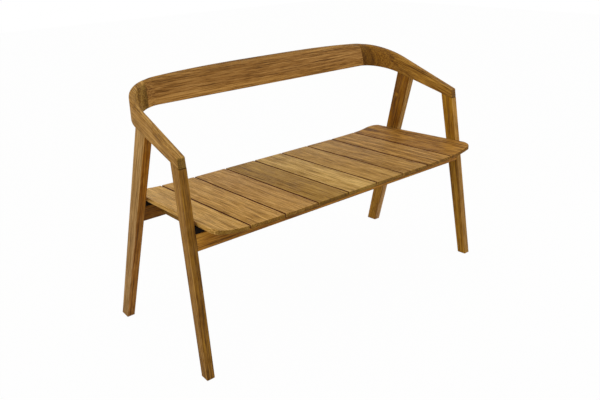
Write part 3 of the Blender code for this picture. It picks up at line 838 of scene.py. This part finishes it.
def slat_depth(x, y):
    """Thickness of the seat at a place: the outermost boards swell towards their outer edge."""
    beyond = max(0.0, (abs(x) - edge_slat_x()) / (seat_edge_x(y) - edge_slat_x()))
    return sizes().slat_thickness + EDGE_SWELL * beyond ** 2


def under_seat(y, x=0.0):
    """Height of the boards' underside, less the seam, at a place that isn't past the tilted boards."""
    level_x = tilt_from_x() + slat_pitch()
    return seat_top(min(abs(x), level_x), y) - sizes().slat_thickness - sizes().seam


def apron_face(front, z):
    """The front face of an apron at a height."""
    return leg_y(front, z)[0] + (FRONT_APRON_SETBACK if front else REAR_APRON_SETBACK)


def apron_top(front, behind, x=0.0):
    """Where a line behind an apron's front face meets the underside of the seat: y and z."""
    rake = FRONT_LEG_RAKE if front else REAR_LEG_RAKE
    foot = apron_face(front, 0.0) + behind
    fall = under_seat(0.0, x) - under_seat(1.0, x)
    z = (under_seat(0.0, x) - fall * foot) / (1.0 + fall * rake)
    return foot + rake * z, z


# The tint of each piece of timber's sides and top, and of its faces square to Y: partly the timber's own tone
# and partly painted light and shade, each piece and each pair of faces made lighter or darker as the light
# falls on it
TONES_AND_PAINTED_LIGHT = {
    "arm_left": ((1.05, 1.01, 0.90), (0.90, 0.93, 0.66)),
    "arm_right": ((1.03, 0.92, 0.45), (0.93, 0.80, 0.30)),
    "back_rail": ((0.80, 0.69, 0.36), (0.94, 0.84, 0.74)),
    "leg_front_left": ((0.80, 0.70, 0.43), (0.69, 0.57, 0.17)),
    "leg_front_right": ((0.97, 0.82, 0.13), (1.08, 1.00, 0.59)),
    "leg_rear_left": ((1.04, 1.05, 1.17), (0.89, 0.59, 0.05)),
    "leg_rear_right": ((0.70, 0.51, 0.045), (1.21, 1.20, 1.12)),
    "apron_front": ((1.22, 0.98, 0.41), (1.22, 0.98, 0.41)),
    "apron_rear": ((0.68, 0.45, 0.03), (0.68, 0.45, 0.03)),
}
# What sets each piece's grain apart
SEEDS = {
    "arm_left": 3.0, "arm_right": 5.0, "back_rail": 7.0, "leg_front_left": 14.0, "leg_front_right": 18.0,
    "leg_rear_left": 9.0, "leg_rear_right": 13.0, "apron_front": 23.0, "apron_rear": 29.0,
    "seat_boards": 41.0, "cross_rails": 61.0,
}
# Painted light and shade, where a piece turns lighter or darker towards a part that the light reaches more or
# less: from a place to a place, and by then the tints of its sides and of its faces square to Y
PAINTED_LIGHT_FADES = {
    "arm_right": ((0.6, 0.04, 0.7), (0.6, 0.18, 0.7), (0.70, 0.63, 0.46), (0.80, 0.74, 0.56)),
    "back_rail": ((0.0, 0.2, 0.780), (0.0, 0.2, 0.755), (1.10, 1.11, 1.02), (1.10, 1.11, 1.02)),
    "leg_rear_left": ((-0.6, 0.1, 0.50), (-0.6, 0.1, 0.34), (0.89, 0.87, 0.88), (1.22, 1.33, 3.40)),
    "leg_rear_right": ((0.6, 0.1, 0.50), (0.6, 0.1, 0.38), (1.57, 1.87, 8.00), (1.04, 1.04, 1.18)),
    "leg_front_right": ((0.6, -0.2, 0.52), (0.6, -0.2, 0.34), (1.18, 1.20, 2.40), (0.79, 0.79, 1.02)),
}
# The seat boards' tints from left to right, none over the palest, each with its streaks (0 to 1)
PALEST = 1.7
BOARD_TONES = [
    (1.47, 1.53, 1.48, 0.42), (1.43, 1.44, 1.33, 0.40), (1.21, 1.18, 1.09, 0.40), (0.96, 0.95, 0.58, 0.50),
    (1.45, 1.62, 1.70, 0.36), (1.20, 1.22, 1.09, 0.42), (1.05, 1.00, 0.82, 0.95), (1.24, 1.18, 0.99, 0.80),
    (1.00, 0.84, 0.47, 1.00),
]
CROSS_RAIL_TINT = (0.50, 0.42, 0.18)
KNOT = (0.5885, 0.0980, 0.6190)
KNOT_RADIUS = 0.011

# Operators

# Rings along the runs, bends and rounded ends, and the sides of holes and screws
ARM_END_STEPS = 5
ARM_RUN_STEPS = 12
BEND_STEPS = 36
BACK_TURN_STEPS = 8
BACK_RUN_STEPS = 24
FOOT_STEPS = 5
LEG_RUN_STEPS = 12
APRON_RUN_STEPS = 6
HOLE_SIDES = 20
SCREW_SIDES = 24
COUNTERBORE_DEPTH = 0.080
# A height inside both aprons
APRON_MIDDLE_Z = 0.42


class BENCH_OT_arms(bpy.types.Operator):
    """Make both arms, each with the bend that it turns into"""

    bl_idname = "bench.arms"
    bl_label = "Make Arms"

    def execute(self, context):
        lines = band_lines()
        corner_y = corner_centre()[1]
        run = []
        for turn in quarter_turn(ARM_END_STEPS):
            inset = ARM_END_ARRIS * (1 - math.sin(turn))
            back = ARM_END_ARRIS * (1 - math.cos(turn))
            points = [arm_point(line, arm_end_y(line) + back) for line in lines]
            run.append(all_worn(band_ring(points, inset)))
        for share in shares(ARM_RUN_STEPS):
            points = [arm_point(line, lerp(arm_end_y(line) + ARM_END_ARRIS, corner_y, share))
                      for line in lines]
            run.append(band_ring(points))
        for side, word in SIDES:
            rings = list(run)
            ends = [joint_angle(line, side, sizes().seam / 2) for line in lines]
            for share in shares(BEND_STEPS, True):
                points = [corner_point(line, lerp(ARM_ANGLE, end, share)) for line, end in zip(lines, ends)]
                rings.append(band_ring(points, bend=math.sin(share * math.pi / 2) ** 2))
            name = f"arm_{word}"
            along = (-ARM_TOE_IN * side, 1.0, (UNDERSIDE_SLOPE + TOP_SLOPE) / 2)
            middle = (0.61 * side, 0.0, 0.73)
            finish = teak(f"teak_{name}", along, middle, SEEDS[name], *TONES_AND_PAINTED_LIGHT[name],
                          fade=PAINTED_LIGHT_FADES.get(name), heart=(0.12 * side, -0.03))
            place_piece(name, loft(name, mirrored(rings, side)), finish)
        return {"FINISHED"}


class BENCH_OT_back(bpy.types.Operator):
    """Make the long back piece between the two bends"""

    bl_idname = "bench.back"
    bl_label = "Make Back"

    def execute(self, context):
        lines = band_lines()
        corner_x = corner_centre()[0]
        halves = []
        for side, _ in SIDES:
            half = []
            ends = [joint_angle(line, side, -sizes().seam / 2) for line in lines]
            for share in shares(BACK_TURN_STEPS):
                points = [corner_point(line, lerp(end, math.pi / 2, share)) for line, end in zip(lines, ends)]
                half.append(band_ring(points, bend=1 - share))
            for share in shares(BACK_RUN_STEPS):
                half.append(band_ring([back_point(line, corner_x * (1 - share)) for line in lines]))
            halves.append(mirrored(half, side))
        middle = band_ring([back_point(line, 0.0) for line in lines])
        rings = halves[1] + [middle] + halves[0][::-1]
        finish = teak("teak_back", (1.0, 0.0, 0.0), (0.0, 0.21, 0.79), SEEDS["back_rail"],
                      *TONES_AND_PAINTED_LIGHT["back_rail"], fade=PAINTED_LIGHT_FADES["back_rail"], heart=(0.03, -0.22),
                      lean=(0.02, 0.006), figure=0.6)
        place_piece("back_rail", loft("back_rail", rings), finish)
        return {"FINISHED"}


class BENCH_OT_legs(bpy.types.Operator):
    """Make the four tapered legs"""

    bl_idname = "bench.legs"
    bl_label = "Make Legs"

    def execute(self, context):
        radii = (sizes().leg_arris,) * 4
        arris = sizes().foot_arris
        for front, end in ((True, "front"), (False, "rear")):
            foot, head = leg_corners(front, 0.0)[0], leg_corners(front, 1.0)[0]
            rings = []
            for turn in quarter_turn(FOOT_STEPS):
                height = arris * (1 - math.cos(turn))
                inset = arris * (1 - math.sin(turn))
                corners = leg_corners(front, height / head.z)
                rings.append(all_worn(inset_ring(corners, radii, inset, LEG_STEPS)))
            for share in shares(LEG_RUN_STEPS, True):
                corners = leg_corners(front, lerp(arris / head.z, 1.0, share))
                rings.append(rounded(corners, radii, LEG_STEPS))
            for point, _ in rings[0]:
                point.z = 0.0
            for side, word in SIDES:
                name = f"leg_{end}_{word}"
                turned = Vector((side, 1.0, 1.0))
                knot = (KNOT, KNOT_RADIUS) if name == "leg_rear_right" else None
                finish = teak(f"teak_{name}", (head - foot) * turned, (foot + head) / 2 * turned,
                              SEEDS[name], *TONES_AND_PAINTED_LIGHT[name], fade=PAINTED_LIGHT_FADES.get(name),
                              heart=(0.05, 0.08 * side), knot=knot)
                place_piece(name, loft(name, mirrored(rings, side)), finish)
        return {"FINISHED"}


def screw_places():
    """Where the slat screws stand across the bench."""
    count, pitch = sizes().slat_count, slat_pitch()
    places = []
    for number in range(1, count + 1):
        x = (number - (count + 1) / 2) * pitch
        if number in (1, count):
            x = math.copysign(edge_slat_x() + EDGE_SCREW_INSET, x)
        places.append(x)
    return places


def screw_holes(name, front):
    """Counterbored holes for the slat screws, as one hidden mesh."""
    mesh = bmesh.new()
    rake = FRONT_LEG_RAKE if front else REAR_LEG_RAKE
    direction = Vector((0.0, rake, 1.0)).normalized()
    turn = direction.to_track_quat("Z", "Y").to_matrix().to_4x4()
    head = SCREW_IN_SLAT - SCREW_LENGTH
    for x in screw_places():
        start = Vector((x, *apron_top(front, APRON_THICKNESS / 2, x)))
        for radius, low, high in ((COUNTERBORE_RADIUS, -COUNTERBORE_DEPTH, head + sizes().seam),
                                  (SCREW_SHANK_RADIUS + sizes().seam, head, SCREW_IN_SLAT)):
            centre = start + direction * (low + high) / 2
            bmesh.ops.create_cone(mesh, cap_ends=True, segments=HOLE_SIDES, radius1=radius, radius2=radius,
                                  depth=high - low, matrix=Matrix.Translation(centre) @ turn)
    return to_mesh(name, mesh)


class BENCH_OT_aprons(bpy.types.Operator):
    """Make the two aprons under the seat, with their screw holes"""

    bl_idname = "bench.aprons"
    bl_label = "Make Aprons"

    def execute(self, context):
        for front, word in ((True, "front"), (False, "rear")):
            depth = FRONT_APRON_DEPTH if front else REAR_APRON_DEPTH
            low_z = apron_top(front, 0.0)[1] - depth
            level_x = tilt_from_x() + slat_pitch()
            half = []
            for station in (None, level_x, tilt_from_x()):
                high_x = station or level_x
                section = [(apron_face(front, low_z), low_z),
                           (apron_face(front, low_z) + APRON_THICKNESS, low_z),
                           apron_top(front, APRON_THICKNESS, high_x), apron_top(front, 0.0, high_x)]
                half.append([Vector((station or leg_x(front, y, z, sizes().stock) - sizes().seam, y, z))
                             for y, z in section])
            sections = half + [[Vector((-point.x, point.y, point.z)) for point in row]
                               for row in reversed(half)]
            radii = (APRON_ARRIS,) * 4
            rings = []
            for first, second in zip(sections, sections[1:]):
                for share in shares(APRON_RUN_STEPS):
                    corners = [a.lerp(b, share) for a, b in zip(first, second)]
                    rings.append(rounded(corners, radii, APRON_STEPS))
            rings.append(rounded(sections[-1], radii, APRON_STEPS))
            name = f"apron_{word}"
            middle = (0.0, apron_face(front, APRON_MIDDLE_Z), APRON_MIDDLE_Z)
            finish = teak(f"teak_{name}", (1.0, 0.0, 0.0), middle, SEEDS[name], *TONES_AND_PAINTED_LIGHT[name])
            board = in_scene(f"{name}_board", loft(name, rings))
            holes = in_scene(f"{name}_holes", screw_holes(f"{name}_holes", front))
            change = board.modifiers.new("Holes", "BOOLEAN")
            change.operation = "DIFFERENCE"
            change.solver = "EXACT"
            change.use_self = True
            change.object = holes
            made = evaluated(board)
            bpy.data.objects.remove(holes)
            made.set_sharp_from_angle(angle=SHARP_ANGLE)
            place_piece(name, made, finish)
        return {"FINISHED"}


# At a board's long edges, the rounding that a section loses as it is drawn in, and how its wear fades
LOST_ROUNDING = 0.6
EDGE_WEAR_FALL = 0.5


def board_ring(ends, arris_share):
    """The rounded section of a seat board, drawn in where the long edges round over.

    ends are its front and rear, each with its x and y and its lower and upper height.
    """
    arris = sizes().slat_arris
    shrink = arris * (1 - math.sqrt(1 - (1 - arris_share) ** 2))
    (front_x, front, front_low, front_high), (rear_x, rear, rear_low, rear_high) = ends
    front += shrink
    rear -= shrink
    corners = (Vector((front_x, front, front_low + shrink)), Vector((rear_x, rear, rear_low + shrink)),
               Vector((rear_x, rear, rear_high - shrink)), Vector((front_x, front, front_high - shrink)))
    ring = rounded(corners, (arris - shrink * LOST_ROUNDING,) * 4, BOARD_STEPS)
    if arris_share < 1:
        ring = [(point, max(wear, 1.0 - arris_share * EDGE_WEAR_FALL)) for point, wear in ring]
    return ring


def slat_ring(x, arris_share):
    """The section of a plain seat board that lies x from the middle of the bench."""
    return board_ring([(x, y, seat_top(x, y) - sizes().slat_thickness, seat_top(x, y))
                       for y in (SEAT_FRONT_Y, SEAT_REAR_Y)], arris_share)


def edge_slat_ring(reach, arris_share):
    """The section of an outermost board, at a reach from its inner edge to the seat's outer edge (0 to 1)."""
    ends = []
    for y_end, inward, radius, length in ((SEAT_FRONT_Y, 1, FRONT_CORNER_RADIUS, FRONT_CORNER_LENGTH),
                                          (SEAT_REAR_Y, -1, REAR_CORNER_RADIUS, REAR_CORNER_RADIUS)):
        past = max(0.0, (reach - 1) * (seat_edge_x(y_end) - edge_slat_x()) + radius)
        y = y_end + inward * (length - length / radius * math.sqrt(max(0.0, radius ** 2 - past ** 2)))
        x = lerp(edge_slat_x(), seat_edge_x(y), reach)
        near = max(0.0, 1 - (1 - reach) * EDGE_SLAT_WIDTH / EDGE_UNDERCUT)
        raised = EDGE_UNDERCUT * (1 - math.sqrt(1 - near ** 2))
        ends.append((x, y, seat_top(x, y) - slat_depth(x, y) + raised, seat_top(x, y)))
    return board_ring(ends, arris_share)


def repeat_tree(name, material, in_row):
    """A Geometry Nodes tree that repeats a piece in a row along the bench, or at the points of a mesh.

    It comes with the identifiers of its inputs. The row has a count and a pitch, and a mesh has a turn.
    """
    tree = bpy.data.node_groups.new(name, "GeometryNodeTree")
    inputs = {"Geometry": "Geometry", "Piece": "Object"}
    if in_row:
        inputs.update(Count="Int", Pitch="Float")
    keys = {}
    for label, kind in inputs.items():
        socket = tree.interface.new_socket(label, in_out="INPUT", socket_type=f"NodeSocket{kind}")
        keys[label] = socket.identifier
    tree.interface.new_socket("Geometry", in_out="OUTPUT", socket_type="NodeSocketGeometry")
    shop = Shop(tree)
    source = shop.add("NodeGroupInput", {}, {})
    given = {label: Socket(shop, source.outputs[label]) for label in inputs}
    piece = shop.out("GeometryNodeObjectInfo", {}, {"Object": given["Piece"]}, "Geometry")
    spread = {"Points": given["Geometry"], "Instance": piece}
    if in_row:
        start = shop.join((given["Count"] - 1.0) * -0.5 * given["Pitch"], 0.0, 0.0)
        spread["Points"] = shop.out("GeometryNodeMeshLine", {"mode": "OFFSET"}, {
            "Count": given["Count"], "Start Location": start, "Offset": shop.join(given["Pitch"], 0.0, 0.0)})
    else:
        spread["Rotation"] = shop.out("GeometryNodeInputNamedAttribute", {"data_type": "FLOAT_VECTOR"},
                                      {"Name": "turn"}, "Attribute")
    instances = shop.out("GeometryNodeInstanceOnPoints", {}, spread)
    real = shop.out("GeometryNodeRealizeInstances", {}, {"Geometry": instances})
    skin = shop.out("GeometryNodeSetMaterial", {}, {"Geometry": real, "Material": material})
    shop.add("NodeGroupOutput", {}, {"Geometry": skin})
    return tree, keys


def repeated(name, seed_mesh, points_mesh, material, **inputs):
    """The plain mesh that a repeat tree makes of a piece's mesh, in a row where no points are given."""
    piece = in_scene(f"{name}_piece", seed_mesh)
    carrier = in_scene(f"{name}_points", points_mesh or bpy.data.meshes.new(f"{name}_points"))
    tree, keys = repeat_tree(name, material, points_mesh is None)
    change = carrier.modifiers.new(name, "NODES")
    change.node_group = tree
    change[keys["Piece"]] = piece
    for key, value in inputs.items():
        change[keys[key]] = value
    made = evaluated(carrier)
    bpy.data.objects.remove(piece)
    made.name = name
    return made


# Shares of the rounding at a board's long edges, the width's steps and how many of them lie before the round
# corners of an outermost board, and the angles round these
ARRIS_SHARES = (0.0, 0.15, 0.4, 0.7, 1.0)
EDGE_SLAT_STEPS = 14
PLAIN_STEPS = 10
CORNER_ANGLES = (0, 8, 15, 22, 29, 36, 43, 50, 57, 64, 70, 73)


class BENCH_OT_seat(bpy.types.Operator):
    """Make the seat: a row of plain boards, and a raised board with round corners at each end"""

    bl_idname = "bench.seat"
    bl_label = "Make Seat"

    def execute(self, context):
        count, pitch, arris = sizes().slat_count, slat_pitch(), sizes().slat_arris
        half = (pitch - sizes().slat_gap) / 2
        left = [(-half + arris * share, share) for share in ARRIS_SHARES]
        stations = left + [(0.0, 1.0)] + [(-x, share) for x, share in reversed(left)]
        board = loft("seat_board", [slat_ring(x, share) for x, share in stations])
        finish = teak("teak_seat_boards", (0.0, 1.0, 0.0), (0.0, 0.0, 0.453), SEEDS["seat_boards"],
                      heart=(0.0, -0.045), boards=(pitch, BOARD_TONES))
        row = repeated("seat_boards", board, None, finish, Count=count - 4, Pitch=pitch)
        place_piece("seat_boards", row, finish, [f"seat_slat_{n}" for n in range(3, count - 1)])
        tilted_x = (count / 2 - 1.5) * pitch
        tilted = [slat_ring(tilted_x + x, share) for x, share in stations]
        edge = arris / EDGE_SLAT_WIDTH
        rises = [(edge * share, share) for share in ARRIS_SHARES[:-1]]
        plain = [edge] + [step / EDGE_SLAT_STEPS for step in range(1, PLAIN_STEPS)]
        turn = [1 - REAR_CORNER_RADIUS / EDGE_SLAT_WIDTH * (1 - math.sin(math.radians(angle)))
                for angle in CORNER_ANGLES]
        outward = rises + [(reach, 1.0) for reach in plain + turn]
        outward += [(1 - reach, share) for reach, share in [(edge, 1.0)] + rises[::-1]]
        rings = [edge_slat_ring(reach, share) for reach, share in outward]
        for side, _ in SIDES:
            for number, kind in ((1, rings), (2, tilted)):
                name = f"seat_slat_{number if side < 0 else count + 1 - number}"
                place_piece(name, loft(name, mirrored(kind, side)), finish)
        return {"FINISHED"}


# The pan head's outline: shares of its radius and of its height, from its flat to its rim
PAN_HEAD = ((0.45, 1.0), (0.80, 0.885), (0.96, 0.577), (1.0, 0.154), (1.0, 0.0))
SCREW_TIP_SHARE = 0.2


class BENCH_OT_screws(bpy.types.Operator):
    """Make the slat screws in their holes under the aprons"""

    bl_idname = "bench.screws"
    bl_label = "Make Screws"

    def execute(self, context):
        finish = mottled("screw_steel", (900.0,) * 3, 3.0, ((0.42, 0.41, 0.39), (0.62, 0.61, 0.58)),
                         roughness=0.28, spread=0.2, height=0.00005, metallic=1.0, specular=0.5)
        head, shank = sizes().screw_head_radius, SCREW_SHANK_RADIUS
        low = SCREW_IN_SLAT - SCREW_LENGTH
        outline = [(head * share, low - SCREW_HEAD_HEIGHT * drop) for share, drop in PAN_HEAD]
        outline += [(shank, low), (shank, SCREW_IN_SLAT - shank), (shank * SCREW_TIP_SHARE, SCREW_IN_SLAT)]
        angles = [math.tau * share for share in shares(SCREW_SIDES)]
        screw = loft("screw", [[(Vector((radius * math.cos(angle), radius * math.sin(angle), z)), 0.0)
                                for angle in angles] for radius, z in outline])
        holder = bmesh.new()
        turn = holder.verts.layers.float_vector.new("turn")
        for rake, front in ((FRONT_LEG_RAKE, True), (REAR_LEG_RAKE, False)):
            for x in screw_places():
                point = holder.verts.new((x, *apron_top(front, APRON_THICKNESS / 2, x)))
                point[turn] = Vector((-math.atan(rake), 0.0, 0.0))
        row = repeated("slat_screws", screw, to_mesh("screw_points", holder), finish)
        nodes = [f"slat_screw_{word}_{n}" for word in ("front", "rear")
                 for n in range(1, sizes().slat_count + 1)]
        place_piece("slat_screws", row, finish, nodes)
        return {"FINISHED"}


# The pads' stations from the inner end to the leg: shares of the way, and how far the edges are rounded
PAD_STATIONS = ((0.0, 1.0), (0.02, 0.5), (0.07, 0.0), (0.4, 0.0), (0.75, 0.0), (0.94, 0.0), (0.98, 0.5),
                (1.0, 1.0))
PAD_ROUNDING = 0.6


class BENCH_OT_pads(bpy.types.Operator):
    """Make the near-black pads between the aprons and the seat's raised edges, which reach out to the legs:
    part pad, part painted shade that fills the gap there with dark
    """

    bl_idname = "bench.pads"
    bl_label = "Make Pads"

    def execute(self, context):
        # Partly painted shade: the pads are near black so that, reaching out to the legs, they fill the gap
        # under the seat's raised edges with dark
        finish = mottled("rubber", (220.0,) * 3, 3.0, ((0.007, 0.004, 0.003), (0.020, 0.013, 0.011)),
                         roughness=0.70, spread=0.2, height=0.0001, specular=0.05)
        seam = sizes().seam
        for front, end in ((True, "front"), (False, "rear")):
            rings = []
            for share, inset in PAD_STATIONS:
                draw = PAD_ARRIS * inset * PAD_ROUNDING
                lower, upper = [], []
                for depth in (PAD_SETBACK + draw, APRON_THICKNESS - PAD_SETBACK - draw):
                    y, low = apron_top(front, depth, seat_edge_x(0.0))
                    inner = seat_edge_x(y) - PAD_UNDER_SEAT
                    outer = leg_x(front, y, low, sizes().stock) - seam
                    x = lerp(inner, outer, share)
                    under = min(x, seat_edge_x(y))
                    high = seat_top(under, y) - slat_depth(under, y) - seam
                    lower.append(Vector((x, y, low + seam + draw)))
                    upper.append(Vector((x, y, high - draw)))
                rings.append(rounded(lower + upper[::-1], (PAD_ARRIS,) * 4, PAD_STEPS))
            for side, word in SIDES:
                name = f"seat_pad_{end}_{word}"
                place_piece(name, loft(name, mirrored(rings, side)), finish)
        return {"FINISHED"}


class BENCH_OT_joinery(bpy.types.Operator):
    """Give the hidden rails, dowels and tenons their wood"""

    bl_idname = "bench.joinery"
    bl_label = "Finish Joinery"

    def execute(self, context):
        rails = teak("teak_cross_rails", (0.0, 1.0, 0.0), (0.51, 0.0, 0.42), SEEDS["cross_rails"],
                     CROSS_RAIL_TINT)
        beech = mottled("beech", (400.0, 400.0, 60.0), 2.0, ((0.46, 0.30, 0.15), (0.62, 0.44, 0.25)),
                        roughness=0.55, spread=0.1, height=0.0001)
        for name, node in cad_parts.items():
            if name.startswith("cross_rail"):
                finish = rails
            elif name.startswith(("arm_dowel", "back_tenon")):
                finish = beech
            else:
                continue
            node.data.materials.clear()
            node.data.materials.append(finish)
        return {"FINISHED"}


SENSOR_WIDTH = 36.0
UPWARD = Vector((0.0, 0.0, 1.0))
# The floor, which the camera sees nearly white, with the bench's shadow
FLOOR_COLOUR = (0.72, 0.72, 0.72)
FLOOR_WHITENESS = 0.975
FLOOR_REACH = 9.0
FLOOR_DROP = 0.0005
FILL_COLOUR = (1.0, 0.97, 0.88)
# Each lamp's place and what it is aimed at
KEY_LIGHT = ((-1.70, 0.0, 1.50), (-0.1, 0.0, 0.4))
SIDE_LIGHT = ((1.60, -1.50, 1.10), (0.2, 0.0, 0.5))
LAMP_WIDTH = 1.2


class BENCH_OT_studio(bpy.types.Operator):
    """Set up the camera, the light and the plain floor"""

    bl_idname = "bench.studio"
    bl_label = "Make Studio"

    def execute(self, context):
        scene, studio = context.scene, context.scene.bench_studio
        azimuth, elevation, roll = (math.radians(angle) for angle in
                                    (studio.azimuth, studio.elevation, studio.roll))
        back = Vector((math.sin(azimuth) * math.cos(elevation), -math.cos(azimuth) * math.cos(elevation),
                       math.sin(elevation)))
        flat = UPWARD.cross(back).normalized()
        upright = back.cross(flat)
        right = flat * math.cos(roll) + upright * math.sin(roll)
        up = upright * math.cos(roll) - flat * math.sin(roll)
        data = bpy.data.cameras.new("camera")
        data.lens = studio.lens
        data.sensor_width = SENSOR_WIDTH
        data.sensor_fit = "HORIZONTAL"
        camera = in_scene("camera", data)
        turn = Matrix((right, up, back)).transposed().to_4x4()
        camera.matrix_world = Matrix.Translation(Vector(studio.target) + back * studio.distance) @ turn
        scene.camera = camera

        shop = Shop(bpy.data.materials.new("studio_floor"))
        seen = shop.out("ShaderNodeLightPath", {}, {}, "Is Camera Ray")
        matt = shop.out("ShaderNodeBsdfDiffuse", {}, {"Color": FLOOR_COLOUR})
        white = shop.out("ShaderNodeEmission", {}, {"Color": WHITE, "Strength": 1.0})
        both = shop.mix_shaders(seen * FLOOR_WHITENESS, matt, white)
        shop.add("ShaderNodeOutputMaterial", {}, {"Surface": both})
        corners = [(x, y, 0.0) for x, y in ((-1, -1), (1, -1), (1, 1), (-1, 1))]
        mesh = bpy.data.meshes.new("studio_floor")
        mesh.from_pydata([Vector(corner) * FLOOR_REACH for corner in corners], [], [(0, 1, 2, 3)])
        mesh.materials.append(shop.owner)
        floor = in_scene("studio_floor", mesh)
        floor.location.z = -FLOOR_DROP

        sky = Shop(bpy.data.worlds.new("studio"))
        on_camera, _, _, on_glossy, *_ = sky.outs("ShaderNodeLightPath", {}, {})
        fill = sky.out("ShaderNodeBackground", {}, {"Color": FILL_COLOUR, "Strength": studio.fill})
        plain = sky.out("ShaderNodeBackground", {}, {"Color": WHITE})
        both = sky.mix_shaders(on_camera.maths("MAXIMUM", on_glossy), fill, plain)
        sky.add("ShaderNodeOutputWorld", {}, {"Surface": both})
        scene.world = sky.owner

        for name, place, aim, power in (("key_light", *KEY_LIGHT, studio.key_power),
                                        ("side_light", *SIDE_LIGHT, studio.side_power)):
            lamp = bpy.data.lights.new(name, "AREA")
            lamp.energy = power
            lamp.size = LAMP_WIDTH
            light = in_scene(name, lamp)
            light.location = place
            light.rotation_euler = (Vector(place) - Vector(aim)).to_track_quat("Z", "Y").to_euler()
        scene.view_settings.view_transform = "Standard"
        return {"FINISHED"}


class BENCH_PT_panel(bpy.types.Panel):
    """The bench's sizes and colours, and the buttons that make its pieces"""

    bl_idname = "BENCH_PT_panel"
    bl_label = "Garden Bench"
    bl_space_type = "VIEW_3D"
    bl_region_type = "UI"
    bl_category = "Bench"

    def draw(self, context):
        scene = context.scene
        for group in (scene.bench_sizes, scene.teak_colours, scene.bench_studio):
            column = self.layout.column(align=True)
            for key in group.__annotations__:
                column.prop(group, key)
        for operator in OPERATORS:
            self.layout.operator(operator.bl_idname)


GROUPS = {"bench_sizes": BenchSizes, "teak_colours": TeakColours, "bench_studio": StudioSettings}
OPERATORS = (BENCH_OT_arms, BENCH_OT_back, BENCH_OT_legs, BENCH_OT_aprons, BENCH_OT_seat,
             BENCH_OT_screws, BENCH_OT_pads, BENCH_OT_joinery, BENCH_OT_studio)


def register():
    """Registers the classes and hangs the settings on the scene."""
    for kind in (*GROUPS.values(), *OPERATORS, BENCH_PT_panel):
        bpy.utils.register_class(kind)
    for key, kind in GROUPS.items():
        setattr(bpy.types.Scene, key, PointerProperty(type=kind))


def unregister():
    """Takes the settings and the classes away again."""
    for key in GROUPS:
        delattr(bpy.types.Scene, key)
    for kind in reversed((*GROUPS.values(), *OPERATORS, BENCH_PT_panel)):
        bpy.utils.unregister_class(kind)


def main():
    """Makes every piece and the studio."""
    register()
    bpy.ops.bench.arms()
    bpy.ops.bench.back()
    bpy.ops.bench.legs()
    bpy.ops.bench.aprons()
    bpy.ops.bench.seat()
    bpy.ops.bench.screws()
    bpy.ops.bench.pads()
    bpy.ops.bench.joinery()
    bpy.ops.bench.studio()


if __name__ == "__main__":
    main()
